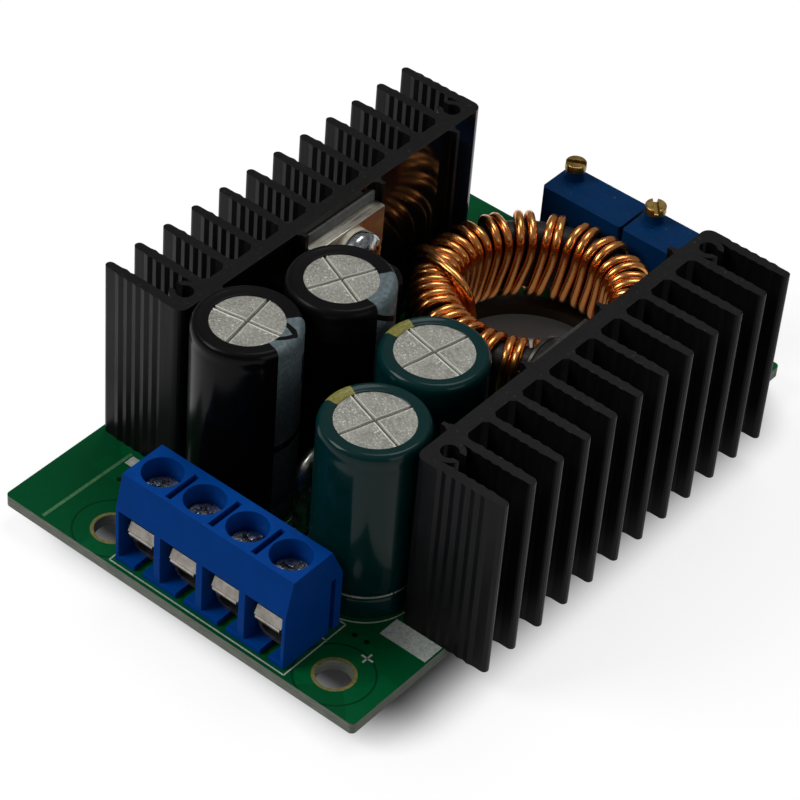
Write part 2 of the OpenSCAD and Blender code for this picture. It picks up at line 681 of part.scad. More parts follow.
// One turn of wire round the core's section, as radius and height, from the outer bottom corner
// up the outside, over the top, down the inside and back under
bend_steps = 4;
function bend(c, a0) = [for (k = [0:bend_steps]) let(a = a0 + k*90/bend_steps) c + bend_r*[cos(a), sin(a)]];
turn_path = concat(
    bend([path_outer_r - bend_r, path_bottom + bend_r], -90),
    bend([path_outer_r - bend_r, path_top - bend_r], 0),
    bend([path_inner_r + bend_r, path_top - bend_r], 90),
    bend([path_inner_r + bend_r, path_bottom + bend_r], 180));
turn_steps = len(turn_path);
function strand_point(s, n, k) = let(p = turn_path[k], a = strand_turn(s, n + (k - bend_steps)/turn_steps, p.x))
    [p.x*cos(a), p.x*sin(a), p.y];
function strand_foot(s, n, z) = let(p = strand_end(s, n)) [p.x, p.y, z];
// Out along the bottom after the last turn, and a bend down towards the board
function strand_exit(s) = [for (a = [90:-90/bend_steps:0])
    let(r = path_outer_r - bend_r + bend_r*cos(a), n = turns - a/90*bend_steps/turn_steps, d = strand_turn(s, n, r))
        [r*cos(d), r*sin(d), path_bottom - bend_r + bend_r*sin(a)]];
// A whole strand: up through the board, round every turn, and down through the board again
function strand_path(s) = concat(
    [for (z = [stub_z, -board_t/2]) strand_foot(s, 0, z)],
    [for (n = [0:turns - 1], k = [n == 0 ? bend_steps : 0:turn_steps - 1]) strand_point(s, n, k)],
    strand_exit(s), [for (z = [-board_t/2, stub_z]) strand_foot(s, turns, z)]);

// Tube of a given number of sides along a path, closed at both ends. Each ring stands square to
// the path and keeps its first corner turned the same way as the ring before it
function unit(v) = v/norm(v);
function path_way(p, i) = unit(p[min(i + 1, len(p) - 1)] - p[max(i - 1, 0)]);
function side_of(t, last) = unit(last - (last*t)*t);
function path_sides(p, i = 0, last = [1, 0, 0], out = []) = i == len(p) ? out :
    let(u = side_of(path_way(p, i), last)) path_sides(p, i + 1, u, concat(out, [u]));
module tube(path, r, sides) {
    ups = path_sides(path);
    n = len(path);
    points = [for (i = [0:n - 1], j = [0:sides - 1])
        let(t = path_way(path, i), u = ups[i], v = cross(t, u), a = j*360/sides)
        path[i] + r*(cos(a)*u + sin(a)*v)];
    walls = [for (i = [0:n - 2], j = [0:sides - 1])
        let(k = (j + 1)%sides) [i*sides + k, i*sides + j, (i + 1)*sides + j, (i + 1)*sides + k]];
    start = [for (j = [0:sides - 1]) j];
    end = [for (j = [sides - 1:-1:0]) (n - 1)*sides + j];
    polyhedron(points, concat([start], walls, [end]), convexity = 20);
}

module inductor_winding() {
    color([0.72, 0.42, 0.25]) place(ring_mid) for (s = [0, 1]) tube(strand_path(s), wire_r, 6);
}

// Side view of the block: its depth along X and its height along Y
module block_profile() {
    polygon([[0, 0], [0, crest_z], [front_lean, block_h], [block_d - back_slope, block_h],
        [block_d, back_z], [block_d, 0]]);
}

module terminal_block() {
    room_w = pole_pitch - entry_wall;
    inner_front = 0.8;
    room_top = guard_belly_z + guard_rise + guard_lip_h + clamp_travel + 0.1;
    slot_y = well_y - slot_l/2 - 0.15;
    groove_d = 0.6;
    color([0.03, 0.33, 0.66]) place([block_x, block_y]) difference() {
        translate([block_l, 0, 0]) rotate([90, 0, -90]) linear_extrude(block_l) mirror([1, 0]) block_profile();
        for (i = poles) translate([(i + 0.5)*pole_pitch, 0, 0]) {
            translate([-room_w/2, -1, floor_t]) cube([room_w, entry_depth + 1, crest_z - floor_t]);
            translate([-room_w/2, inner_front, floor_t])
                cube([room_w, entry_depth - inner_front, room_top - floor_t]);
            translate([-floor_gap/2 + 0.3, -1, -1]) cube([floor_gap, entry_depth, floor_t + 2]);
            translate([0, well_y, crest_z]) disc(well_d/2, block_h);
            translate([0, well_y + 0.6, -1]) disc(pole_pin_d/2 + 0.05, 3);
        }
        for (i = [1:3]) translate([i*pole_pitch - slot_w/2, slot_y, block_h - slot_depth])
            cube([slot_w, slot_l, slot_depth + 1]);
        translate([block_l - groove_w, block_d - 1.5, -1]) cube([groove_w + 1, groove_d, crest_z + 1.2]);
    }
}

// Front view of a box with round lower corners, standing on the X axis
module cup(w, h, r) {
    translate([-w/2, r]) square([w, h - r]);
    translate([r - w/2, 0]) square([w - 2*r, r + eps]);
    for (x = [r - w/2, w/2 - r]) translate([x, r]) circle(r);
}

module cage_section() {
    difference() {
        cup(cage_w, cage_top - floor_t, cage_bend_r);
        translate([0, cage_t])
            cup(cage_w - 2*cage_t, cage_top - floor_t - cage_t - cage_top_t, cage_bend_r - cage_t);
    }
}

// Bent metal box that the screw is threaded in, with the pole's pin below it
module clamp_cage(i) {
    y0 = well_y - cage_d/2 + 0.3;
    color([0.75, 0.75, 0.72]) place([pole_x(i), block_y], 0) difference() {
        union() {
            translate([0, y0 + cage_d, floor_t]) rotate([90, 0, 0]) linear_extrude(cage_d) cage_section();
            translate([0, well_y + 0.6, stub_z]) disc(pole_pin_d/2, floor_t - stub_z + eps);
        }
        translate([0, well_y, cage_top - cage_top_t - 1]) disc(clamp_screw_d/2 + thread_room, cage_top_t + 2);
    }
}

// Bent strip that the screw presses on to the wire: a leaning front lip, a fold, a slope down to the
// belly, and the flat belly under the screw
guard_y = well_y - cage_d/2 - 0.15;
guard_l = cage_d - 0.3;
guard_fold = [for (k = [0:4])
    let(a = 180 - guard_lip_lean + k/4*(90 - guard_slope + guard_lip_lean))
        [-guard_fold_r/2, guard_rise] + guard_fold_r*[cos(a), sin(a)]];
guard_lip = [guard_fold[0] + guard_lip_h*[sin(guard_lip_lean), cos(guard_lip_lean)], guard_fold[0]];
guard_foot = [guard_fold[4].x + (guard_fold[4].y - guard_t/2)/tan(guard_slope), guard_t/2];
guard_strip = concat(guard_fold, [guard_foot, [guard_l, guard_t/2]]);

// Strip of the guard's thickness along a bent line
function strip_side(p, d) = [for (i = [0:len(p) - 1]) let(t = path_way(p, i)) p[i] + d*[-t.y, t.x]];
module strip(p, w) {
    rotate([90, 0, 90]) translate([0, 0, -w/2]) linear_extrude(w)
        polygon(concat(strip_side(p, guard_t/2), turned(strip_side(p, -guard_t/2))));
}

module wire_guard(i) {
    color([0.85, 0.84, 0.8]) place([pole_x(i), block_y + guard_y], guard_belly_z) {
        strip(guard_strip, guard_w);
        strip(guard_lip, guard_lip_w);
    }
}

// Screw with a flat head, a crossed recess and a tip that stands on the wire guard's belly
module clamp_screw(i) {
    tip_z = guard_belly_z + guard_t + 0.06;
    tip_h = 0.7;
    slot_z = clamp_head_z + clamp_head_h - 0.7;
    color([0.8, 0.8, 0.82]) place([pole_x(i), block_y + well_y]) difference() {
        union() {
            translate([0, 0, clamp_head_z]) disc(clamp_head_d/2, clamp_head_h);
            translate([0, 0, tip_z]) cylinder(r1 = clamp_screw_d/4, r2 = clamp_screw_d/2, h = tip_h);
            translate([0, 0, tip_z + tip_h - eps])
                disc(clamp_screw_d/2, clamp_head_z - tip_z - tip_h + 2*eps);
        }
        translate([-0.3, -clamp_head_d, slot_z]) cube([0.6, 2*clamp_head_d, 1]);
        translate([-1.2, -0.25, slot_z]) cube([2.4, 0.5, 1]);
    }
}

module clamp_cage_1() { clamp_cage(0); }
module clamp_cage_2() { clamp_cage(1); }
module clamp_cage_3() { clamp_cage(2); }
module clamp_cage_4() { clamp_cage(3); }
module wire_guard_1() { wire_guard(0); }
module wire_guard_2() { wire_guard(1); }
module wire_guard_3() { wire_guard(2); }
module wire_guard_4() { wire_guard(3); }
module clamp_screw_1() { clamp_screw(0); }
module clamp_screw_2() { clamp_screw(1); }
module clamp_screw_3() { clamp_screw(2); }
module clamp_screw_4() { clamp_screw(3); }

// Moulded case on two low feet, with a collar that the adjusting screw turns in
module trimmer_case(i) {
    foot_l = 1.2;
    screw = [adjuster_set, trimmer_w - adjuster_set];
    color([0.02, 0.17, 0.5]) place([trimmer_left(i), trimmer_y]) difference() {
        union() {
            translate([0, 0, trimmer_foot])
                rounded_plate([trimmer_l, trimmer_w], 0.35, trimmer_h - trimmer_foot);
            for (x = [0.3, trimmer_l - foot_l - 0.3])
                translate([x, 0.3, 0]) cube([foot_l, trimmer_w - 0.6, trimmer_foot + eps]);
            translate([screw.x, screw.y, trimmer_h - eps]) disc(collar_d/2, collar_h + eps);
        }
        translate([screw.x, screw.y, trimmer_h - adjuster_in])
            disc(adjuster_shaft_d/2 + adjuster_room, adjuster_in + collar_h + 1);
        for (k = [-1:1]) translate([trimmer_l/2 + k*trimmer_pin_pitch, trimmer_w/2, -1])
            disc(trimmer_pin_d/2, trimmer_foot + 2);
    }
}

module trimmer_pins(i) {
    color("silver") for (k = [3*i:3*i + 2]) let(h = trimmer_holes[k])
        place([h.x, h.y], stub_z) disc(trimmer_pin_d/2, trimmer_foot + 1 - stub_z);
}

// Slotted brass screw whose head stands over the collar
module trimmer_screw(i) {
    slot_turn = i == 0 ? 30 : -50;
    color([0.72, 0.55, 0.25])
        place([trimmer_left(i) + adjuster_set, trimmer_y + trimmer_w - adjuster_set], trimmer_h)
        difference() {
            union() {
                translate([0, 0, adjuster_room - adjuster_in])
                    disc(adjuster_shaft_d/2, adjuster_in + collar_h);
                translate([0, 0, collar_h + adjuster_room]) disc(adjuster_d/2, adjuster_h);
            }
            translate([0, 0, collar_h + adjuster_room + adjuster_h]) rotate([0, 0, slot_turn])
                cube([2*adjuster_d, 0.45, adjuster_h], center = true);
        }
}

module trimmer_case_1() { trimmer_case(0); }
module trimmer_pins_1() { trimmer_pins(0); }
module trimmer_screw_1() { trimmer_screw(0); }
module trimmer_case_2() { trimmer_case(1); }
module trimmer_pins_2() { trimmer_pins(1); }
module trimmer_screw_2() { trimmer_screw(1); }

module current_shunt() {
    color([0.7, 0.7, 0.68]) place([shunt_x, shunt_y + shunt_bend_r]) {
        straight = shunt_h - shunt_d/2 - shunt_bend_r;
        for (s = [-1, 1]) translate([0, s*shunt_bend_r, stub_z]) disc(shunt_d/2, straight - stub_z);
        translate([0, 0, straight]) rotate([90, 0, 90]) rotate_extrude(angle = 180)
            translate([shunt_bend_r, 0]) circle(shunt_d/2);
    }
}

module solder_joints() {
    color([0.82, 0.82, 0.84]) difference() {
        for (h = lead_holes) place([h.x, h.y], -board_t - solder_h)
            cylinder(r1 = h[2] + 0.15, r2 = h[2] + solder_spread, h = solder_h);
        for (h = lead_holes) place([h.x, h.y], -board_t - solder_h - 1) disc(h[2], solder_h + 2);
    }
}

// Moulded chip with flat legs along its two long sides
module flat_chip(size, legs, leg_pitch, leg_w, reach) {
    color([0.1, 0.1, 0.1]) translate([-size.x/2, -size.y/2, 0.15]) cube([size.x, size.y, size.z - 0.15]);
    color("silver") for (k = [0:legs - 1], s = [-1, 1])
        translate([(k - (legs - 1)/2)*leg_pitch - leg_w/2, s > 0 ? size.y/2 - 0.2 : -size.y/2 - reach, 0]) {
            cube([leg_w, reach + 0.2, 0.2]);
            translate([0, s > 0 ? 0.1 : reach - 0.15, 0]) cube([leg_w, 0.25, size.z/2]);
        }
}

// Front of the row of chips, behind both back capacitors
chips_front = max(input_back.y, output_back.y) + cap_d/2 + chip_gap;
chip_mid = [ring_mid.x + 2*small_gap, chips_front + chip_reach + chip_w/2];
reference_mid = chip_mid + [chip_l/2 + 3*small_gap + reference_reach + reference_w/2, 0];
module amplifier_chip() { place(chip_mid) flat_chip([chip_l, chip_w, chip_h], 4, 1.27, 0.4, chip_reach); }
module reference_chip() {
    place(reference_mid) rotate([0, 0, 90])
        flat_chip([reference_l, reference_w, chip_h], 3, 1.5, 0.45, reference_reach);
}

// Block with a bright cap at each end, lying on the board
module chip_part(h, tint) {
    end_l = 0.35;
    color(tint) translate([-small_l/2 + end_l, -small_w/2, 0]) cube([small_l - 2*end_l, small_w, h]);
    color("silver") for (x = [-small_l/2, small_l/2 - end_l])
        translate([x, -small_w/2, 0]) cube([end_l, small_w, h]);
}

// Column of resistors on the left of the amplifier chip, and a row of parts behind the heatsink
small_pitch = small_w + small_gap;
resistor_x = chip_mid.x - chip_l/2 - small_gap - small_l/2;
row_end = [board_w - edge_gap - small_w/2, sink_front + sink_l + behind_gap + small_l/2];
module chip_resistors() {
    for (k = [0:3]) place([resistor_x, chips_front + small_w/2 + k*small_pitch])
        chip_part(small_h, [0.1, 0.1, 0.1]);
}

module indicator_lamps() {
    for (k = [0, 1]) place(row_end - [k*small_pitch, 0]) rotate([0, 0, 90])
        chip_part(0.7, [0.95, 0.93, 0.85]);
}

module chip_capacitors() {
    for (k = [2, 3]) place(row_end - [k*small_pitch, 0]) rotate([0, 0, 90])
        chip_part(0.9, [0.6, 0.5, 0.38]);
}

circuit_board();
left_heatsink();
right_heatsink();
heatsink_pins();
left_pad();
right_pad();
regulator_tab();
regulator_body();
regulator_leads();
regulator_bush();
regulator_screw();
rectifier_tab();
rectifier_body();
rectifier_leads();
rectifier_bush();
rectifier_screw();
input_can_front();
input_sleeve_front();
input_bung_front();
input_leads_front();
input_can_back();
input_sleeve_back();
input_bung_back();
input_leads_back();
output_can_front();
output_sleeve_front();
output_bung_front();
output_leads_front();
output_can_back();
output_sleeve_back();
output_bung_back();
output_leads_back();
inductor_core();
inductor_winding();
terminal_block();
clamp_cage_1();
clamp_cage_2();
clamp_cage_3();
clamp_cage_4();
wire_guard_1();
wire_guard_2();
wire_guard_3();
wire_guard_4();
clamp_screw_1();
clamp_screw_2();
clamp_screw_3();
clamp_screw_4();
trimmer_case_1();
trimmer_pins_1();
trimmer_screw_1();
trimmer_case_2();
trimmer_pins_2();
trimmer_screw_2();
current_shunt();
solder_joints();
amplifier_chip();
reference_chip();
chip_resistors();
chip_capacitors();
indicator_lamps();
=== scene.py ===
"""Looks for the step-down converter module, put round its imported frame.

The file is laid out as a Blender add-on: each operator makes one piece or one group of like pieces,
and main() calls them in order. Shapes are worked out in millimetres as whole numpy arrays, from
functions of two parameters or from a profile carried along a path, and are put into meshes in metres.
"""

import json
import math
from functools import partialmethod

import bmesh
import bpy
import numpy as np
from mathutils import Matrix, Vector


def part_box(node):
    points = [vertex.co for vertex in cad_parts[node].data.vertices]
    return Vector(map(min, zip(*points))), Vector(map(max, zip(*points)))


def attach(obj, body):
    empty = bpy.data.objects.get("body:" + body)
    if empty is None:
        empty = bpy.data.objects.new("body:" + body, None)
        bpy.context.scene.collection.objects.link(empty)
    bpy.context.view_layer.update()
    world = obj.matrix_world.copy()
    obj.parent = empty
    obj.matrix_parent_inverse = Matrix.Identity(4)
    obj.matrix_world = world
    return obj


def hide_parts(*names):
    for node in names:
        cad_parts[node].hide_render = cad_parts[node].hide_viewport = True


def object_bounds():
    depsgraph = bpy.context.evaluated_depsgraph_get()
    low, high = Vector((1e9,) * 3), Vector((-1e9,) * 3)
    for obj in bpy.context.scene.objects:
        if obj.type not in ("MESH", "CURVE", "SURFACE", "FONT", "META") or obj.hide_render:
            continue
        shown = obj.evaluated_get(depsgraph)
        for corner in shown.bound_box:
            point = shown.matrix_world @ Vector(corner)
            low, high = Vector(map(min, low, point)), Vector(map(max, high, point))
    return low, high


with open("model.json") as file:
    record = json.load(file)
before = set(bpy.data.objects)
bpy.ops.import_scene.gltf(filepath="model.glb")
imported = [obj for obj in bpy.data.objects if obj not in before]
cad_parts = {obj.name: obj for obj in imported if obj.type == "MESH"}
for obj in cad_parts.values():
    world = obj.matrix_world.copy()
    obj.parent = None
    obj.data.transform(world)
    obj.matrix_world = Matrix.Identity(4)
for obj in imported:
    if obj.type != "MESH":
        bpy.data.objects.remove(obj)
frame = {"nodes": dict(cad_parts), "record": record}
CAD_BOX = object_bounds()

bl_info = {
    "name": "Converter module looks",
    "version": (1, 0, 0),
    "blender": (4, 5, 0),
    "location": "3D View > Sidebar > Converter",
    "description": "Builds the finishes, prints and detailed pieces of a step-down converter module",
    "category": "Object",
}

ROOT = "board_assembly"
MM = 0.001


def low_high(node):
    """Lowest and highest corner of a CAD node, in millimetres."""
    low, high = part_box(node)
    return np.array(low) / MM, np.array(high) / MM


BOARD_LOW, BOARD_HIGH = low_high("circuit_board")


def on_board(x, y, z=0.0):
    """A place counted from the board's front left corner and up from its top face, in the row frame."""
    return np.array([x + BOARD_LOW[0], y + BOARD_LOW[1], z + BOARD_HIGH[2]])


def middle(node):
    """Centre of a CAD node's box, in millimetres."""
    low, high = low_high(node)
    return (low + high) / 2


SLEEVES = ("input_sleeve_front", "input_sleeve_back", "output_sleeve_front", "output_sleeve_back")
MOUNT = next(m for m in frame["record"]["mounts"] if m["kind"] == "bolt_pattern")
MOUNT_PLACE = (MOUNT["dims"]["spacing_x_mm"] / 2 * MM, MOUNT["dims"]["spacing_y_mm"] / 2 * MM, 0.0)


# Meshes ------------------------------------------------------------------------------------------


def grid_faces(rows, cols, close_rows=False, close_cols=False):
    """Quads between neighbouring points of a grid. They face outwards where the rows run up the
    outside of a shape and the columns run round it counter-clockwise."""
    r, c = np.meshgrid(
        np.arange(rows if close_rows else rows - 1),
        np.arange(cols if close_cols else cols - 1),
        indexing="ij",
    )
    r2, c2 = (r + 1) % rows, (c + 1) % cols
    return np.stack([r * cols + c, r * cols + c2, r2 * cols + c2, r2 * cols + c], -1).reshape(-1, 4)


def joined(*parts):
    """Points and faces of several shapes as one, each shape's faces counted on from the last."""
    starts = np.cumsum([0] + [len(points) for points, _ in parts[:-1]])
    faces = [f + start for (_, f), start in zip(parts, starts)]
    return np.concatenate([points for points, _ in parts]), np.concatenate(faces)


def moved(part, shift):
    """A shape moved by a vector."""
    return part[0] + np.asarray(shift, float), part[1]


def turned(part, degrees):
    """A shape turned about the Z axis."""
    a = math.radians(degrees)
    spin = np.array([[math.cos(a), -math.sin(a), 0], [math.sin(a), math.cos(a), 0], [0, 0, 1]])
    return part[0] @ spin.T, part[1]


def lathe(profile, steps=96, ring=False):
    """Profile of radius and height carried round the Z axis: x = r cos a, y = r sin a, z = h.
    A ring's profile is closed. Points on the axis fall together and are merged later."""
    profile = np.asarray(profile, float)
    a = np.arange(steps) * 2 * np.pi / steps
    r, h = profile[:, :1], profile[:, 1:]
    points = np.stack([r * np.cos(a), r * np.sin(a), h + 0 * a], -1).reshape(-1, 3)
    return points, grid_faces(len(profile), steps, ring, True)


def arc(cx, cy, r, a0, a1, steps):
    """Points on a circle in the plane, from one angle to another, in degrees."""
    a = np.radians(np.linspace(a0, a1, steps))
    return np.stack([cx + r * np.cos(a), cy + r * np.sin(a)], -1)


def sides_of(path, up):
    """Two directions square to a path: the given up made square to the path's direction, and the
    cross product of the path's direction with it."""
    way = np.gradient(path, axis=0)
    way /= np.linalg.norm(way, axis=1, keepdims=True)
    up = np.broadcast_to(np.asarray(up, float), path.shape)
    side = up - (up * way).sum(1, keepdims=True) * way
    side /= np.linalg.norm(side, axis=1, keepdims=True)
    return side, np.cross(way, side)


def tube(path, radius, up, sides=12):
    """Circle carried along a path: p + r (cos a N + sin a B), with N the up direction made square to
    the path and B square to both. Each end closes to a point."""
    n, b = sides_of(path, up)
    a = np.arange(sides)[:, None] * 2 * np.pi / sides
    rows = path[:, None] + radius * (np.cos(a) * n[:, None] + np.sin(a) * b[:, None])
    first, last = (np.broadcast_to(end, (1, sides, 3)) for end in (path[0], path[-1]))
    rows = np.concatenate([first, rows, last])
    return rows.reshape(-1, 3), grid_faces(len(rows), sides, False, True)


def bar(rows):
    """Four-sided bar with flat ends, from its rows of four corners."""
    last = 4 * (len(rows) - 1)
    ends = np.array([[3, 2, 1, 0], [last, last + 1, last + 2, last + 3]])
    return rows.reshape(-1, 3), np.concatenate([grid_faces(len(rows), 4, False, True), ends])


def ribbon(ends, width, z, thick):
    """Flat strip between two places in the plane: each end moved half the width to both sides, with
    a thin edge, lying on the height z."""
    ends = np.asarray(ends, float)
    way = (ends[1] - ends[0]) / np.linalg.norm(ends[1] - ends[0])
    side = np.array([-way[1], way[0]]) * width / 2
    corners = ((side, z), (side, z + thick), (-side, z + thick), (-side, z))
    return bar(np.stack([np.column_stack([ends + s, (h, h)]) for s, h in corners], 1))


def washer(inner, outer, z, thick, steps=48):
    """Thin flat ring about the Z axis, lying on the height z."""
    return lathe([(inner, z), (outer, z), (outer, z + thick), (inner, z + thick)], steps, True)


def level(start, end, height, steps):
    """Profile points at one height, from one radius to another."""
    return np.stack([np.linspace(start, end, steps), np.full(steps, height)], -1)


def smooth(t):
    """Smooth step from 0 to 1, held outside that range: 3 t^2 - 2 t^3."""
    t = np.clip(t, 0, 1)
    return t * t * (3 - 2 * t)


def block(size, power, steps=40, rows=24):
    """Box with rounded edges, as a superquadric: each of the cosines and sines of a sphere's two
    angles is raised to a small power with its sign kept, then scaled by half the size."""
    def bent(v):
        return np.sign(v) * np.abs(v) ** power

    u = (np.arange(steps) + 0.5) * 2 * np.pi / steps
    v = np.linspace(-np.pi / 2, np.pi / 2, rows)[:, None]
    out, up = bent(np.cos(v)), bent(np.sin(v))
    points = np.stack([out * bent(np.cos(u)), out * bent(np.sin(u)), up + 0 * u], -1)
    points[[0, -1], :, :2] = 0
    return points.reshape(-1, 3) * np.asarray(size, float) / 2, grid_faces(rows, steps, False, True)


def build(name, part, material, body=ROOT, place=None, soft=40, replaces=(), merge=True):
    """Makes a piece of a shape in millimetres. place is a point attribute in millimetres that
    patterns may follow. Edges sharper than the soft angle stay sharp."""
    points, faces = part
    mesh = bpy.data.meshes.new(name)
    mesh.from_pydata((points * MM).tolist(), [], faces.tolist())
    if place is not None:
        at = mesh.attributes.new("place", "FLOAT_VECTOR", "POINT")
        at.data.foreach_set("vector", np.asarray(place, np.float32).ravel())
    if merge:
        mended(mesh, 1e-7, lambda bm: bmesh.ops.dissolve_degenerate(bm, edges=bm.edges, dist=1e-8))
    return finished(name, mesh, material, body, soft, replaces)


def mended(mesh, apart, then):
    """Merges a mesh's points that fall together, and does one thing more to it."""
    bm = bmesh.new()
    bm.from_mesh(mesh)
    bmesh.ops.remove_doubles(bm, verts=bm.verts, dist=apart)
    then(bm)
    bm.to_mesh(mesh)
    bm.free()


def linked(name, data):
    """New object in the scene."""
    thing = bpy.data.objects.new(name, data)
    bpy.context.scene.collection.objects.link(thing)
    return thing


def finished(name, mesh, material, body, soft, replaces):
    """Gives a mesh its shading and material, and makes it ride on its body."""
    mesh.materials.clear()
    mesh.materials.append(material)
    mesh.polygons.foreach_set("use_smooth", np.ones(len(mesh.polygons), bool))
    mesh.set_sharp_from_angle(angle=math.radians(soft))
    piece = linked(name, mesh)
    if replaces:
        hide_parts(*replaces)
    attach(piece, body)
    return piece


def softened(name, node, material, width, body=ROOT, corner=25):
    """Copy of a CAD node with its edges rounded by a bevel: its loose triangles are merged and its
    flat facets joined first, and the new piece stands for the node."""
    mesh = frame["nodes"][node].data.copy()
    mended(mesh, 3e-6, lambda bm: bmesh.ops.dissolve_limit(
        bm, angle_limit=math.radians(1.2), verts=bm.verts, edges=bm.edges))
    mesh.name = name
    piece = finished(name, mesh, material, body, 35, (node,))
    edges = piece.modifiers.new("Edges", "BEVEL")
    edges.width = width * MM
    edges.segments = 2
    edges.limit_method = "ANGLE"
    edges.angle_limit = math.radians(corner)
    edges.use_clamp_overlap = True
    piece.modifiers.new("Shading", "WEIGHTED_NORMAL").keep_sharp = True


def dress(material, *nodes):
    """Gives CAD nodes a material."""
    for node in nodes:
        mesh = frame["nodes"][node].data
        mesh.materials.clear()
        mesh.materials.append(material)


# Materials ---------------------------------------------------------------------------------------


class Value:
    """Number that a shader node puts out. Each sign or comparison on it adds a Math node."""

    def __init__(self, net, socket):
        self.net, self.socket = net, socket

    def math(self, operation, *others):
        """Math node over this number and up to two others."""
        return self.net.value("Math", dict(enumerate((self, *others))), operation=operation)

    __add__ = partialmethod(math, "ADD")
    __sub__ = partialmethod(math, "SUBTRACT")
    __mul__ = partialmethod(math, "MULTIPLY")
    __lt__ = partialmethod(math, "LESS_THAN")
    __gt__ = partialmethod(math, "GREATER_THAN")
    __or__ = partialmethod(math, "MAXIMUM")
    __abs__ = partialmethod(math, "ABSOLUTE")


class Net:
    """Nodes of one shader tree. Each method adds a node and hands back what it puts out."""

    def __init__(self, tree):
        self.tree = tree

    def join(self, value, socket):
        """Links a result to a socket, or sets the socket to a plain value."""
        value = value.socket if isinstance(value, Value) else value
        if isinstance(value, bpy.types.NodeSocket):
            self.tree.links.new(value, socket)
        else:
            socket.default_value = value

    def put(self, kind, inputs=None, **properties):
        """Any shader node, with its properties set and its inputs joined."""
        node = self.tree.nodes.new("ShaderNode" + kind)
        for key, value in properties.items():
            setattr(node, key, value)
        for key, value in (inputs or {}).items():
            self.join(value, node.inputs[key])
        return node.outputs

    def value(self, kind, inputs=None, out=0, **properties):
        """Number that any shader node puts out."""
        return Value(self, self.put(kind, inputs, **properties)[out])

    def vector(self, operation, first, second=(0, 0, 0)):
        """Vector Math node over two vectors."""
        return self.put("VectorMath", {0: first, 1: second}, operation=operation)[0]

    def away(self, place, centre=(0, 0, 0)):
        """Distance in the plane between two places."""
        flat = self.vector("MULTIPLY", self.vector("SUBTRACT", place, centre), (1, 1, 0))
        return self.value("VectorMath", {0: flat}, "Value", operation="LENGTH")

    def parts(self, vector):
        """The three numbers of a vector."""
        return [Value(self, number) for number in self.put("SeparateXYZ", {0: vector})]

    def noise(self, place, scale, detail=2.0, rough=0.5):
        """Soft noise."""
        given = {"Vector": place, "Scale": scale, "Detail": detail, "Roughness": rough}
        return self.value("TexNoise", given)

    def cells(self, place, scale, **properties):
        """Distance from the nearest of many scattered points."""
        return self.value("TexVoronoi", {"Vector": place, "Scale": scale}, "Distance", **properties)

    def span(self, value, low=0.0, high=1.0, first=0.0, last=1.0, **properties):
        """Number between low and high carried over to first and last, and held there beyond."""
        return self.value("MapRange", dict(enumerate((value, low, high, first, last))), **properties)

    def mix(self, factor, first, second):
        """Mix of two colours by a factor."""
        return self.put("Mix", {0: factor, 6: first, 7: second}, data_type="RGBA")[2]

    def use(self, name, **inputs):
        """Node group by its name, built the first time that it is used."""
        return self.put("Group", inputs, node_tree=bpy.data.node_groups.get(name) or group(name))


def mottle(net, given):
    """Two colours mixed by cloudy noise, and the noise itself for a roughness."""
    place = net.vector("MULTIPLY", given["Place"], given["Stretch"])
    cloud = net.span(net.noise(place, given["Scale"], 4.0, 0.6), 0.32, 0.68)
    return {"Colour": net.mix(cloud, given["First"], given["Second"]), "Cloud": cloud}


def scuffs(net, given):
    """Fine drawn lines along one direction: noise stretched by a vector, as a roughness between two
    values and as a height."""
    fine = net.noise(net.vector("MULTIPLY", given["Place"], given["Stretch"]), given["Scale"], 3.0, 0.7)
    lines = net.noise(given["Place"], 160.0).math("MULTIPLY_ADD", 0.5, fine * 0.5)
    rough = net.span(lines, 0.35, 0.65, given["Smoothest"], given["Roughest"])
    return {"Roughness": rough, "Height": fine}


def dust(net, given):
    """A colour with pale dust laid over it, in small sparse specks on faces that look up."""
    specks = net.span(net.noise(given["Place"], given["Scale"], 5.0, 0.75), 0.6, 0.72)
    up = net.parts(net.put("NewGeometry")["Normal"])[2]
    mask = specks * (net.span(up, 0.2, 0.9) * given["Amount"])
    return {"Colour": net.mix(mask, given["Colour"], (0.42, 0.41, 0.39, 1))}


NOWHERE, EVEN, GREY = (0.0, 0.0, 0.0), (1.0, 1.0, 1.0), (0.5, 0.5, 0.5, 1.0)
GROUPS = {
    "Mottled colour": (
        mottle, {"Place": NOWHERE, "Stretch": EVEN, "Scale": 500.0, "First": GREY, "Second": GREY},
        {"Colour": "Color", "Cloud": "Float"}),
    "Drawn lines": (
        scuffs, {"Place": NOWHERE, "Stretch": EVEN, "Scale": 3000.0, "Smoothest": 0.3, "Roughest": 0.5},
        {"Roughness": "Float", "Height": "Float"}),
    "Settled dust": (
        dust, {"Place": NOWHERE, "Colour": GREY, "Scale": 2500.0, "Amount": 0.2}, {"Colour": "Color"}),
}


def group(name):
    """Shader node group from its row: the function that fills it, its inputs with their defaults,
    and its outputs with their kinds."""
    fill, inputs, outputs = GROUPS[name]
    tree = bpy.data.node_groups.new(name, "ShaderNodeTree")
    for label, default in inputs.items():
        kind = "Float" if isinstance(default, float) else {3: "Vector", 4: "Color"}[len(default)]
        socket = tree.interface.new_socket(label, in_out="INPUT", socket_type="NodeSocket" + kind)
        socket.default_value = default
    for label, kind in outputs.items():
        tree.interface.new_socket(label, in_out="OUTPUT", socket_type="NodeSocket" + kind)
    net, ends = Net(tree), tree.nodes.new("NodeGroupOutput").inputs
    for label, result in fill(net, tree.nodes.new("NodeGroupInput").outputs).items():
        net.join(result, ends[label])
    return tree


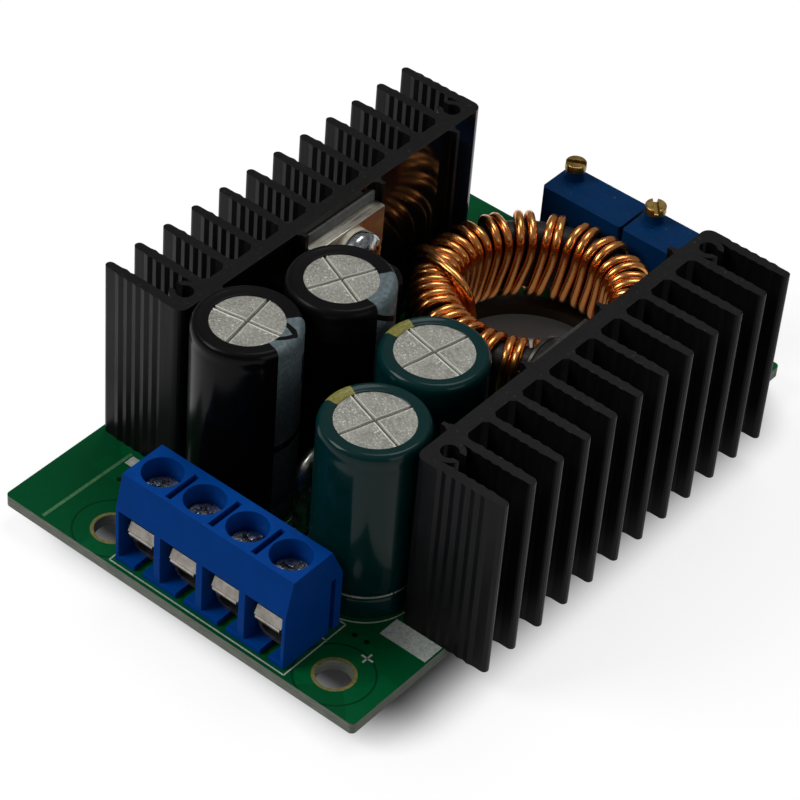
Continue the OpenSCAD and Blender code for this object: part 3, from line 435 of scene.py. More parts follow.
class Finish(Net):
    """A material under way: its shader, and the place that its patterns follow, which is the object's
    own or a point attribute."""

    def __init__(self, name, attribute=None, **values):
        self.material = bpy.data.materials.new(name)
        self.material.use_nodes = True
        super().__init__(self.material.node_tree)
        self.shader = self.tree.nodes["Principled BSDF"]
        if attribute:
            self.place = self.put("Attribute", attribute_name=attribute)["Vector"]
        else:
            self.place = self.put("TexCoord")["Object"]
        self.feed(**values)

    def feed(self, **inputs):
        """Joins results and plain values to the shader's inputs."""
        for key, value in inputs.items():
            self.join(value, self.shader.inputs[key.replace("_", " ")])
        return self

    def bump(self, height, strength, distance):
        """Turns a height into the shader's normal. The distance is in millimetres."""
        bumps = self.put("Bump", {"Strength": strength, "Distance": distance * MM, "Height": height})
        return self.feed(Normal=bumps[0])

    def here(self, name, *given):
        """Node group that follows the finish's place, with its other inputs in their order."""
        return self.use(name, Place=self.place, **dict(zip(list(GROUPS[name][1])[1:], given)))

    def mottled(self, scale, first, second, stretch=EVEN):
        """Two colours in clouds."""
        return self.here("Mottled colour", stretch, scale, first, second)

    def dusted(self, colour, scale, amount):
        """A colour with dust on it."""
        return self.here("Settled dust", colour, scale, amount)["Colour"]

    def lines(self, stretch, scale, smoothest, roughest):
        """Drawn lines as a roughness and a height."""
        return self.here("Drawn lines", stretch, scale, smoothest, roughest)


def rgb(*values):
    """Colour written as shown on a screen, 0 to 255, as linear light."""
    v = np.array(values, float) / 255
    v = np.where(v <= 0.04045, v / 12.92, ((v + 0.055) / 1.055) ** 2.4)
    return (*v.tolist(), 1.0)


def shaded(colour, factor):
    """Colour made lighter or darker by a factor."""
    return (*[min(1.0, c * factor) for c in tuple(colour)[:3]], 1.0)


def cloudy(colours, name, scale, first, second, rough=0.5, specular=0.5, glassy=0.0, **values):
    """Finish of two tones in clouds, which is the base of most others. The tones are two colours, or
    the name of a setting and the share of it that makes the second."""
    f = Finish(name, Roughness=rough, Specular_IOR_Level=specular, Transmission_Weight=glassy, **values)
    if isinstance(first, str):
        tones = tuple(getattr(colours, first)), shaded(getattr(colours, first), second)
    else:
        tones = rgb(*first), rgb(*second)
    f.base = f.mottled(scale, *tones)["Colour"]
    return f.feed(Base_Color=f.base)


def drawn(colours, name, scale, first, second, stretch, fine, smoothest, roughest, strength):
    """Metal of two tones whose fine drawn lines change its roughness and its height."""
    f = cloudy(colours, name, scale, first, second, Metallic=1.0)
    lines = f.lines(stretch, fine, smoothest, roughest)
    return f.feed(Roughness=lines["Roughness"]).bump(lines["Height"], strength, 0.03)


def grained(colours, name, scale, first, second, specks, grain, strength, rough, specular):
    """Plastic of two tones with dust on top and a fine grain."""
    f = cloudy(colours, name, scale, first, second, rough, specular)
    f.feed(Base_Color=f.dusted(f.base, 2400.0, specks))
    return f.bump(f.noise(f.place, grain, 3.0), strength, 0.03)


def silicone(colours, *base):
    """Silicone pad with the print of its woven glass backing."""
    f = cloudy(colours, *base)
    given = {"Vector": f.place, "Scale": 4200.0, "Distortion": 0.3}
    weave = f.value("TexMagic", given, "Fac", turbulence_depth=1)
    return f.bump(weave, 0.3, 0.03)


def core(colours, *base):
    """Coated powder core with a coarse grain."""
    f = cloudy(colours, *base)
    return f.bump(f.noise(f.place, 4200.0, 4.0), 0.5, 0.05)


def solder(colours, *base):
    """Bright solder with a slightly frosted skin."""
    f = cloudy(colours, *base, Metallic=1.0)
    frost = f.cells(f.place, 5200.0)
    return f.feed(Roughness=f.span(frost, 0.0, 0.6, 0.16, 0.4)).bump(frost, 0.2, 0.03)


def solder_mask(colours):
    """Green solder mask over copper areas, with a dark ring round each mounting hole, bare laminate where the
    inductor stands, darkened there to a deep brown as painted shade of the winding, and its glass weave on the
    board's edges."""
    f = Finish("Solder mask", Specular_IOR_Level=0.05)
    green = tuple(colours.mask)
    areas = f.put("TexVoronoi", {"Vector": f.place, "Scale": 150.0}, distance="CHEBYCHEV")
    tone = f.mix(f.span(f.parts(areas["Color"])[0], 0.45, 0.5), green, shaded(green, 1.25))
    ring = abs(f.away(f.vector("ABSOLUTE", f.place), MOUNT_PLACE) - 0.0037) < 0.0001
    tone = f.mix(ring, tone, shaded(green, 0.55))
    clouds = f.mottled(900.0, tone, tone)
    weave = f.noise(f.vector("MULTIPLY", f.place, (0.4, 0.4, 6.0)), 2200.0, 3.0)
    level_face = abs(f.parts(f.put("NewGeometry")["True Normal"])[2]) > 0.5
    top = f.dusted(clouds["Colour"], 1800.0, 0.02)
    whole = f.mix(level_face, f.mix(weave, rgb(58, 66, 52), rgb(150, 154, 144)), top)
    # painted shade: round and under the inductor every face of the board takes a deep brown, much darker than
    # bare laminate, for the shade of the winding
    bare = f.away(f.place, (*(middle("inductor_core")[:2] * MM), 0.0)) < 0.0104
    f.feed(Base_Color=f.mix(bare, whole, f.mix(weave, rgb(30, 26, 20), rgb(58, 50, 38))),
           Roughness=f.span(Value(f, clouds["Cloud"]), 0.0, 1.0, 0.28, 0.42))
    return f.bump(areas["Distance"], 0.15, 0.02)


def anodised(colours):
    """Black anodised extrusion with drawn lines along its height and a little dust on top. The face
    that the left pad lies on is polished."""
    f = Finish("Black anodising", Specular_IOR_Level=0.12, Coat_Roughness=0.09)
    black = tuple(colours.anodising)
    tone = f.mottled(1600.0, black, shaded(black, 1.6), (1.0, 1.0, 0.12))["Colour"]
    lines = f.lines((1.0, 1.0, 0.03), 5200.0, 0.3, 0.48)
    polished = abs(f.parts(f.place)[0] - low_high("left_pad")[0][0] * MM) < 0.00008
    rough = f.put("Mix", {0: polished, 2: lines["Roughness"], 3: 0.1}, data_type="FLOAT")[0]
    f.feed(Base_Color=f.dusted(tone, 2600.0, 0.1), Roughness=rough, Coat_Weight=polished * 0.45)
    return f.bump(lines["Height"], 0.12, 0.02)


def can_metal(colours):
    """Bare aluminium disc, matt and grained, with bright flecks scattered on it as painted glints. The score
    lines run along the piece's own X and Y, their floor is darkened as painted shade, and a bright lip beside
    them is a painted highlight."""
    f = Finish("Can aluminium", "place", Metallic=0.6, Specular_IOR_Level=0.3)
    metal = tuple(colours.can)
    tone = f.mottled(1.1, shaded(metal, 0.98), shaded(metal, 0.62))["Colour"]
    streaks = f.noise(f.vector("MULTIPLY", f.place, (1.0, 1.7, 1.0)), 3.4, 5.0, 0.8)
    tone = f.mix(f.span(streaks, 0.46, 0.64), tone, shaded(metal, 1.5))
    # painted glints: scattered cells where the tone is nearly doubled, as bright points
    sparse = f.span(f.noise(f.place, 0.9, 3.0), 0.4, 0.66, 0.06, 0.36)
    tone = f.mix(f.cells(f.place, 3.4) < sparse, tone, shaded(metal, 1.9))
    grain = f.noise(f.place, 5.5, 4.0, 0.7)
    x, y, _ = f.parts(f.vector("ABSOLUTE", f.place))
    nearer = x.math("MINIMUM", y)
    # painted highlight: a lightened band on the raised lip beside each score, broken up by the grain
    lip = f.span(abs(nearer - 0.21), 0.05, 0.12, 1.5, 0.0)
    tone = f.mix(lip * grain, tone, shaded(metal, 1.9))
    # painted shade: the floor of each score is darkened to about a quarter of the tone
    f.feed(Base_Color=f.mix(f.span(nearer, 0.06, 0.11, 1.0, 0.0), tone, shaded(metal, 0.26)),
           Roughness=f.span(grain, 0.3, 0.7, 0.4, 0.6))
    return f.bump(grain, 0.8, 0.06)


def sleeve(colours, name, base, stripe, half_width, coarse, rim_only, shine):
    """Shrunk sleeve with a printed stripe down one side. The piece's place attribute has its axis at
    zero, its stripe towards +X and its height counted from the rim, so that the way up the wall and in
    over the rim is the height plus the fall of the radius. The stripe's mask is the angle about the
    axis, a chevron is that way less a multiple of the angle, and a break is a band of it."""
    f = Finish(name, "place", Specular_IOR_Level=0.06, Coat_Weight=shine, Coat_Roughness=0.08)
    base, stripe = tuple(getattr(colours, base)), tuple(getattr(colours, stripe))
    x, y, z = f.parts(f.place)
    way = z - f.away(f.place) + 5.1
    turn = y.math("ARCTAN2", x)
    mask = abs(turn) < half_width
    if rim_only:
        mask = mask * (way > -0.1)
    else:
        chevron = abs(way - abs(turn) * 3.6 - 0.42) < 0.33
        broken = abs(way + 11.6) < 0.4
        dash = (abs(way + 4.6) < 1.7) * (abs(turn - 0.24) < 0.06)
        mask = mask - mask * (chevron | broken | dash)
    grain = f.cells(f.place, coarse, feature="SMOOTH_F1")
    deep = f.mix(f.noise(f.place, 0.7, 4.0), shaded(base, 0.8), shaded(base, 1.25))
    ink = f.mix(grain, shaded(stripe, 0.55), shaded(stripe, 1.3))
    # painted shade: the stripe fades towards the black further down the sleeve's wall and stays full on the
    # rim, as the wall takes less light
    painted_shade_down_wall = f.span(way, -9.0, -1.5, 0.62, 0.0)
    f.feed(Base_Color=f.mix(mask, deep, f.mix(painted_shade_down_wall, ink, shaded(base, 1.6))),
           Roughness=f.span(mask | (way > 0.1), 0.0, 1.0, 0.2, 0.46))
    return f.bump((grain * mask).math("MULTIPLY_ADD", 0.6, f.noise(f.place, 0.5)), 0.25, 0.06)


# Each row is a function and what it is given after the settings. For a cloudy finish: name, scale of
# the clouds, two tones, roughness, specular level. A drawn metal has the stretch, scale, smoothest,
# roughest and strength of its lines after the tones, and a grained plastic has its specks of dust,
# the scale and strength of its grain, its roughness and its specular level.
FINISHES = {
    "laminate": (cloudy, "Bare laminate", 3500.0, (120, 110, 62), (86, 84, 48), 0.55, 0.2),
    "print": (cloudy, "White print", 3600.0, "ink", 0.6, 0.6, 0.2),
    "trace": (cloudy, "Covered trace", 3000.0, (72, 116, 80), (48, 96, 60), 0.4, 0.2),
    "via": (cloudy, "Via", 3500.0, (6, 26, 16), (2, 12, 8), 0.4, 0.2),
    "nylon": (cloudy, "Nylon", 1200.0, (176, 170, 152), (150, 144, 124), 0.45, 0.4),
    "rubber": (cloudy, "Bung rubber", 2000.0, (24, 24, 24), (14, 14, 14), 0.75, 0.3),
    "ceramic": (cloudy, "Chip ceramic", 2600.0, (150, 126, 92), (122, 100, 70)),
    "lamp": (cloudy, "Lamp resin", 2600.0, (206, 200, 174), (180, 172, 146), 0.3, 0.5, 0.25),
    "silicone": (silicone, "Silicone pad", 2400.0, (110, 112, 110), (84, 87, 86), 0.7, 0.3),
    "core": (core, "Coated core", 1300.0, (24, 26, 24), (14, 16, 14), 0.5, 0.3),
    "solder": (solder, "Solder", 1900.0, (204, 205, 206), (156, 158, 162)),
    "tinned": (drawn, "Tinned metal", 1400.0, (176, 178, 172), (112, 114, 112),
        EVEN, 1800.0, 0.18, 0.42, 0.25),
    "tab": (drawn, "Plated tab", 700.0, (206, 202, 190), (176, 170, 156), (1.0, 0.05, 1.0),
        4200.0, 0.24, 0.46, 0.2),
    # painted shade: a darkened copy of the tab and screw plating, used on the rectifier
    "shade_darkened_plating": (drawn, "Dull plating", 900.0, (66, 64, 60), (44, 43, 41), EVEN, 3200.0, 0.4, 0.6, 0.2),
    "zinc": (drawn, "Zinc plate", 2600.0, (198, 200, 200), (120, 122, 126),
        EVEN, 3200.0, 0.08, 0.3, 0.3),
    "enamel": (drawn, "Enamelled copper", 300.0, "copper", 0.84, EVEN, 1500.0, 0.2, 0.3, 0.06),
    "plated": (drawn, "Nickel plate", 1500.0, (182, 177, 168), (150, 145, 137),
        (0.08, 1.0, 1.0), 4800.0, 0.24, 0.44, 0.16),
    "screw": (drawn, "Screw plate", 2600.0, (216, 218, 218), (112, 116, 124),
        EVEN, 3600.0, 0.12, 0.36, 0.6),
    "brass": (drawn, "Turned brass", 1800.0, "brass", 0.5, (0.2, 0.2, 1.0),
        6000.0, 0.22, 0.45, 0.25),
    "shunt": (drawn, "Shunt wire", 620.0, (170, 172, 164), (60, 64, 60),
        EVEN, 1500.0, 0.16, 0.4, 0.4),
    "moulding": (grained, "Moulding compound", 1500.0, (16, 16, 17), (10, 10, 11),
        0.1, 9000.0, 0.25, 0.55, 0.15),
    "block": (grained, "Terminal blue", 520.0, "block", 0.86, 0.06, 5200.0, 0.2, 0.42, 0.04),
    "trimmer": (grained, "Trimmer blue", 600.0, "trimmer", 0.82, 0.1, 6000.0, 0.2, 0.48, 0.04),
    "mask": (solder_mask,),
    "anodised": (anodised,),
    "can": (can_metal,),
    "black_sleeve": (sleeve, "Black sleeve", "black_sleeve", "stripe", 0.56, 3.0, False, 0.035),
    "green_sleeve": (sleeve, "Green sleeve", "green_sleeve", "gold", 0.3, 5.0, True, 0.16),
}
_made = {}


def finish(name):
    """Material by its name in the table, made the first time that it is asked for."""
    if name not in _made:
        maker, *given = FINISHES[name]
        _made[name] = maker(bpy.context.scene.converter_colours, *given).material
    return _made[name]


# Settings ----------------------------------------------------------------------------------------


def colour(name, description, default):
    """Property that holds a colour."""
    return bpy.props.FloatVectorProperty(name=name, description=description, default=default, size=4,
                                         min=0.0, max=1.0, subtype="COLOR")


def length(name, description, default):
    """Property that holds a length, given in millimetres."""
    return bpy.props.FloatProperty(name=name, description=description, default=default * MM, min=0.0,
                                   unit="LENGTH", subtype="DISTANCE", precision=5)


class ConverterColours(bpy.types.PropertyGroup):
    """Colours that the finishes start from."""

    mask: colour("Solder mask", "Green of the board", rgb(0, 68, 35))
    ink: colour("Print", "Ink of the board's printed lines", rgb(172, 178, 172))
    anodising: colour("Anodising", "Black of both heatsinks", rgb(9, 9, 9))
    can: colour("Can", "Bare aluminium of the capacitors' tops", rgb(146, 146, 138))
    black_sleeve: colour("Black sleeve", "Sleeve of the input capacitors", rgb(6, 6, 7))
    stripe: colour("Stripe", "Stripe on the black sleeves", rgb(92, 104, 108))
    green_sleeve: colour("Green sleeve", "Sleeve of the output capacitors", rgb(2, 36, 36))
    gold: colour("Gold", "Patch on the green sleeves", rgb(122, 118, 60))
    copper: colour("Copper", "Enamelled wire of the inductor", rgb(228, 152, 86))
    block: colour("Terminal block", "Plastic of the terminal block", rgb(0, 58, 132))
    trimmer: colour("Trimmers", "Plastic of the trimmers", rgb(2, 42, 82))
    brass: colour("Brass", "Adjusting screws", rgb(170, 140, 78))


class ConverterSizes(bpy.types.PropertyGroup):
    """Sizes of details that the frame doesn't hold."""

    line: length("Printed line", "Width of the board's thin printed lines", 0.14)
    thick_line: length("Trace", "Width of the pale trace at the left of the terminals", 0.36)
    print_height: length("Print height", "Height of prints and pads above the board", 0.02)
    wire_unevenness: length("Unevenness", "How far a turn of the winding strays from its place", 0.12)
    edge_radius: length("Edge radius", "Rounding of the terminal block's edges", 0.14)


# Operators ---------------------------------------------------------------------------------------

# The camera looks at the aim from an azimuth and an elevation, and is rolled about its line of sight.
CAMERA_AIM = (0.07, -4.91, 9.49)
CAMERA_TURN = (36.31, 41.61, 4.94)
CAMERA_DISTANCE = 285.0
CAMERA_LENS = 139.71
# Name, place, width and power of each lamp, in millimetres and watts.
LAMPS = (("Key lamp", (-300, -330, 420), 260, 2.3), ("Top lamp", (-40, 190, 470), 220, 0.9),
         ("Side lamp", (460, -60, 180), 260, 0.3))
LAMP_AIM = (0, 0, 10)
WORLD_LEVEL = 0.24
FLOOR_SIZE = 6.0
FLOOR_GLOW = (0.8, 0.8, 0.8, 1)


def camera_matrix():
    """Place and turn of the camera, back from its aim along its line of sight."""
    az, el, roll = (math.radians(v) for v in CAMERA_TURN)
    back = np.array([math.sin(az) * math.cos(el), -math.cos(az) * math.cos(el), math.sin(el)])
    right = np.cross(-back, [0, 0, 1])
    right /= np.linalg.norm(right)
    down = np.cross(-back, right)
    across = math.cos(roll) * right - math.sin(roll) * down
    below = math.sin(roll) * right + math.cos(roll) * down
    m = np.eye(4)
    m[:3] = np.stack([across, -below, back, (np.array(CAMERA_AIM) + CAMERA_DISTANCE * back) * MM], -1)
    return Matrix(m.tolist())


class CONVERTER_OT_stage(bpy.types.Operator):
    """Makes the floor, the lamps, the world and the camera"""

    bl_idname = "converter.stage"
    bl_label = "Stage"

    def execute(self, context):
        scene = context.scene
        scene.camera = linked("Camera", bpy.data.cameras.new("Camera"))
        scene.camera.matrix_world = camera_matrix()
        scene.camera.data.lens = CAMERA_LENS
        scene.camera.data.sensor_width = 36.0
        scene.camera.data.clip_start = 0.01
        scene.camera.data.clip_end = 20.0
        scene.view_settings.view_transform = "Standard"
        self.floor()
        scene.world = bpy.data.worlds.new("Studio")
        scene.world.use_nodes = True
        background = scene.world.node_tree.nodes["Background"].inputs
        background["Color"].default_value = (1, 1, 1, 1)
        background["Strength"].default_value = WORLD_LEVEL
        for name, place, width, power in LAMPS:
            lamp = linked(name, bpy.data.lights.new(name, "AREA"))
            lamp.data.shape = "RECTANGLE"
            lamp.data.size = lamp.data.size_y = width * MM
            lamp.data.energy = power
            lamp.location = Vector(place) * MM
            lamp.rotation_euler = (Vector(place) - Vector(LAMP_AIM)).to_track_quat("Z", "Y").to_euler()
        return {"FINISHED"}

    @staticmethod
    def floor():
        """Floor that is white to the camera and in reflections, keeps the object's shadow, and can be seen
        through from below.
        Its glow stops under the object, at the distance from a box with round corners, and the fade paints a
        soft band of shade there;
        under the middle of the inductor a weak glow is left, a painted pool of light."""
        f = Finish("Studio floor", Roughness=1.0, Specular_IOR_Level=0.0, Emission_Strength=1.0)
        path = f.put("LightPath")
        seen = Value(f, path["Is Camera Ray"]) | path["Is Glossy Ray"] | path["Is Transmission Ray"]
        low, high = CAD_BOX
        inner = (high - low) / 2 - Vector((0.008, 0.008, 0.0))
        out = f.vector("ABSOLUTE", f.vector("SUBTRACT", f.place, (high + low) / 2))
        out = f.vector("MAXIMUM", f.vector("SUBTRACT", out, inner))
        # painted shade, in part: the glow fades over a band round the box's edge, so the floor there darkens
        # by the fade as well as by its real shadow
        clear = f.span(f.away(out), 0.002, 0.0095, interpolation_type="SMOOTHSTEP")
        from_ring = f.away(f.place, (*(middle("inductor_core")[:2] * MM), low[2]))
        # painted light: a weak glow on the floor under the middle of the inductor, a pool of light seen
        # through the ring
        painted_light_under_ring = f.span(from_ring, 0.0068, 0.0076, 0.28, 0.02, interpolation_type="SMOOTHSTEP")
        f.feed(Base_Color=f.mottled(6.0, rgb(130, 130, 130), rgb(127, 127, 127))["Colour"],
               Emission_Color=f.mix(seen * (clear | painted_light_under_ring), (0, 0, 0, 1), FLOOR_GLOW),
               Alpha=f.value("NewGeometry", out="Backfacing") < 0.5)
        mesh = bpy.data.meshes.new("floor")
        s = FLOOR_SIZE / 2
        corners = [(x * s, y * s, low[2]) for x, y in ((-1, -1), (1, -1), (1, 1), (-1, 1))]
        mesh.from_pydata(corners, [], [(0, 1, 2, 3)])
        mesh.materials.append(f.material)
        floor = linked("floor", mesh)


class CONVERTER_OT_board(bpy.types.Operator):
    """Dresses the circuit board and puts its prints, pads and hole rims on it"""

    bl_idname = "converter.board"
    bl_label = "Circuit board"

    # Places are counted from the board's front left corner, in millimetres. Prints and pads stand off
    # the board by the gap. Rims are inner and outer radii, and a pad reaches out from its lead from
    # the clearance to its own width.
    gap = 0.004
    sleeve_print = 5.35
    core_print = 12.5
    via_rim = (0.02, 0.27)
    hole_rim = (1.72, 2.05)
    clearance = 0.16
    trace = ((4.5, 0.35), (4.68, 11.9))
    plus = (37.6, 6.9)
    vias = ((34.97, 8.33), (36.29, 8.4), (6.2, 8.6), (7.4, 9.6),
            (8.0, 57.6), (20.0, 58.8), (30.6, 58.9))
    patches = ((36.42, 10.0, 41.6, 12.4), (5.0, 10.6, 8.8, 11.75))
    pad_widths = {"heatsink_pins": 0.55, "regulator_leads": 0.42, "rectifier_leads": 0.42,
                  "current_shunt": 0.55, "trimmer_pins_1": 0.4, "trimmer_pins_2": 0.4}

    def execute(self, context):
        dress(finish("mask"), "circuit_board")
        sizes = context.scene.converter_sizes
        lift, line, thick_line = (v / MM for v in (sizes.print_height, sizes.line, sizes.thick_line))
        z = BOARD_HIGH[2] + self.gap

        def ring(centre, inner, outer, steps=48, height=z):
            """Printed ring about a place in the plane."""
            return moved(washer(inner, outer, height, lift, steps), (*centre, 0))

        def strip(a, b, width):
            """Printed strip between two places on the board."""
            return ribbon([on_board(*a)[:2], on_board(*b)[:2]], width, z, lift)

        low, high = (corner - on_board(0, 0) for corner in low_high("terminal_block"))
        x0, x1, y0, y1 = low[0] - 0.35, high[0] + 0.45, 0.4, high[1] + 0.35
        corners = [(x0, y0), (x1, y0), (x1, y1), (x0, y1)]
        prints = [strip(a, b, line) for a, b in zip(corners, corners[1:] + corners[:1])]
        prints.append(strip((x1 - 1.0, 6.1), (x1 + 0.1, 6.1), line))
        prints += [ring(middle(node)[:2], self.sleeve_print, self.sleeve_print + line, 72) for node in SLEEVES]
        prints.append(ring(middle("inductor_core")[:2], self.core_print, self.core_print + line, 96))
        x, y = self.plus
        prints += [strip((x - 0.65, y), (x + 0.65, y), 0.2), strip((x, y - 0.65), (x, y + 0.65), 0.2)]
        under = BOARD_LOW[2] - self.gap - lift
        sx, sy = MOUNT_PLACE[0] / MM, MOUNT_PLACE[1] / MM
        flats = {
            "bare_trace": ("trace", "board_laminate", [strip(*self.trace, thick_line)]),
            "board_print": ("print", "board_laminate", prints),
            "board_pads": ("tinned", "tinned_steel", [
                ring(centre, r + self.clearance, r + wide) for node, wide in self.pad_widths.items()
                for centre, r in lead_places(node)]),
            "vias": ("via", "board_laminate", [
                ring(on_board(*at)[:2], *self.via_rim, 24) for at in self.vias]),
            "printed_patches": ("print", "board_laminate", [
                strip((a, (b + d) / 2), (c, (b + d) / 2), d - b) for a, b, c, d in self.patches]),
            "mounting_rims": ("laminate", "board_laminate", [
                ring((x, y), *self.hole_rim, 64, height)
                for x in (-sx, sx) for y in (-sy, sy) for height in (z, under)]),
        }
        for name, (material, slot, shapes) in flats.items():
            build(name, joined(*shapes), finish(material), merge=False)
        return {"FINISHED"}


def shells(node):
    """Points of each loose shell of a CAD node, in millimetres. Points that fall together are counted
    once, and each point takes the lowest label among its triangles until none changes."""
    mesh = frame["nodes"][node].data
    co = np.zeros(len(mesh.vertices) * 3, np.float32)
    mesh.vertices.foreach_get("co", co)
    mesh.calc_loop_triangles()
    tri = np.zeros(len(mesh.loop_triangles) * 3, np.int32)
    mesh.loop_triangles.foreach_get("vertices", tri)
    co, same = np.unique(np.round(co.reshape(-1, 3) / MM, 3), axis=0, return_inverse=True)
    tri = same.ravel()[tri].reshape(-1, 3)
    label = np.arange(len(co))
    while True:
        before = label.copy()
        for k in range(3):
            np.minimum.at(label, tri[:, k], label[tri].min(1))
        label = label[label]
        if (before == label).all():
            return [co[label == v] for v in np.unique(label)]


def lead_places(node):
    """Centre and half width of each lead of a CAD node below the board."""
    found = []
    for co in shells(node):
        co = co[co[:, 2] < BOARD_LOW[2] - 0.02]
        while len(co):
            near = np.linalg.norm(co[:, :2] - co[0, :2], axis=1) < 1.9
            low, high = co[near, :2].min(0), co[near, :2].max(0)
            found.append(((low + high) / 2, float((high - low).max() / 2)))
            co = co[~near]
    return found


class CONVERTER_OT_heatsinks(bpy.types.Operator):
    """Dresses both heatsinks and their pins"""

    bl_idname = "converter.heatsinks"
    bl_label = "Heatsinks"

    def execute(self, context):
        dress(finish("anodised"), "left_heatsink", "right_heatsink")
        dress(finish("tinned"), "heatsink_pins")
        return {"FINISHED"}


def screw_head(radius, height, cross, steps=72):
    """Domed screw head with a cross recess, along +Z from z = 0: the dome is a flattened circle arc,
    and inside the recess the height falls where the distance to either arm is small."""
    rim = [(0.0, 0.0), (radius * 0.96, 0.0), (radius, height * 0.12), (radius, height * 0.35)]
    rows = np.concatenate([rim, arc(0, 0, 1, 4, 90, 34) * [radius, height * 0.65] + [0, height * 0.35]])
    points, faces = lathe(rows, steps)
    x, y, z = np.abs(points).T
    arms = np.minimum(np.hypot(np.maximum(x - cross, 0), y), np.hypot(np.maximum(y - cross, 0), x))
    points[:, 2] -= np.where(z > height * 0.4, smooth(2 - arms / 0.16) * height * 0.42, 0)
    return points, faces


class CONVERTER_OT_devices(bpy.types.Operator):
    """Makes the regulator and the rectifier: pads, tabs, bodies, leads, bushes and screws"""

    bl_idname = "converter.devices"
    bl_label = "Power devices"

    # Height of the CAD screws' heads, and for each device the way it faces along X, the height of its head,
    # and the finishes of its tab and its screw.
    # The rectifier's tab and screw take a darkened plating, which is painted shade.
    cad_head = 2.1
    devices = {"regulator": (1, 2.1, "tab", "zinc"), "rectifier": (-1, 1.0, "shade_darkened_plating", "shade_darkened_plating")}

    def execute(self, context):
        dress(finish("silicone"), "left_pad", "right_pad")
        dress(finish("nylon"), "regulator_bush")
        # painted shade: the rectifier's bush is black moulding, not pale nylon like the regulator's
        dress(finish("moulding"), "rectifier_bush")
        dress(finish("tinned"), "regulator_leads", "rectifier_leads")
        for name, (facing, head, plate, plating) in self.devices.items():
            softened(f"{name}_case", f"{name}_body", finish("moulding"), 0.1)
            softened(f"{name}_plate", f"{name}_tab", finish(plate), 0.07)
            self.screw(name, facing, head, finish(plating))
        return {"FINISHED"}

    def screw(self, name, facing, head, material):
        """Head with its shank, turned so that it points out of the heatsink's face."""
        low, high = low_high(f"{name}_screw")
        seat = high[0] - self.cad_head if facing > 0 else low[0] + self.cad_head
        shank = lathe([(0, -3.9), (1.2, -3.9), (1.44, -3.6), (1.44, 0.05), (0, 0.05)], 48)
        points, faces = joined(screw_head((high[2] - low[2]) / 2, head, 1.25), shank)
        spun = points[:, ::-1] * [facing, 1, -facing] + [seat, *middle(f"{name}_screw")[1:]]
        build(f"{name}_fixing", (spun, faces), material, replaces=(f"{name}_screw",))


def sleeve_profile(r, top, disc, groove=2.6):
    """Outside of a shrunk sleeve as radius and height: from under its base, up over the smooth dip of
    the rolled groove, round the shoulder's ellipse, and along the nearly level rim to the bare disc,
    then back inside. The dip is a bell curve of the height."""
    z = np.linspace(0.55, top - 1.0, 54)
    dips = 0.24 * np.exp(-(((z - groove) / 0.42) ** 2)) + 0.05 * np.exp(-(((z - top + 1.5) / 0.2) ** 2))
    shoulder = arc(0, 0, 1, 3, 88, 16) * [0.62, 0.82] + [r - 0.62, top - 0.82]
    t = np.linspace(0, 1, 10)
    rim = np.stack([r - 0.66 - t * (r - 0.7 - disc), top - 0.05 * np.sin(np.pi * t) - 0.1 * t ** 3], -1)
    edge = [(disc - 0.02, top - 0.16), (disc + 0.08, top - 0.3)]
    inner = [(r - 1.0, top - 0.35), (r - 0.14, top - 1.1), (r - 0.14, 3.6), (r - 0.5, 2.6),
             (r - 0.14, 1.6), (r - 0.14, 0.5), (r - 0.5, 0.16), (disc, 0.14)]
    base, wall = arc(r - 0.5, 0.5, 0.5, -90, -4, 8), np.stack([r - dips, z], -1)
    return np.concatenate([[(disc, 0.0)], base, wall, shoulder, rim, edge, inner])


def scored_top(disc, z, depth=0.13, half=0.1):
    """Bare disc with a scored cross. A petal is the quarter disc beyond half the score's width from
    both arms: its points run from its corner out to the circle, and its height is the fall into the
    score, a smooth step of the distance to the nearer arm, plus a raised bell curve beside it and a
    very low crown. A flat floor lies under the scores."""
    floor = lathe([(0, z - 0.4), (disc + 0.12, z - 0.4), (disc + 0.12, z - depth), (0, z - depth)], 96)
    lo = math.asin(half / disc)
    fine = np.concatenate([np.linspace(0, 0.5, 22), np.linspace(0.54, 1.0, 12)])
    fine = fine ** 1.5 * (np.pi / 4 - lo)
    rim = np.concatenate([lo + fine, np.pi / 2 - lo - fine[::-1][1:]])
    t = np.concatenate([np.linspace(0, 0.2, 14), np.linspace(0.23, 1, 22)])[:, None]
    x = half + t * (disc * np.cos(rim) - half)
    y = half + t * (disc * np.sin(rim) - half)
    d = np.minimum(x, y) - half
    lift = depth * smooth(d / 0.07) + 0.06 * np.exp(-(((d - 0.12) / 0.06) ** 2))
    lift += 0.02 * np.sin(x * 2.1 + 0.6) * np.sin(y * 1.7 + 1.1) * (1 - (np.hypot(x, y) / disc) ** 4)
    petal = np.stack([x, y, z - depth + lift], -1).reshape(-1, 3), grid_faces(len(t), len(rim))
    return joined(floor, *[turned(petal, 90 * k) for k in range(4)])


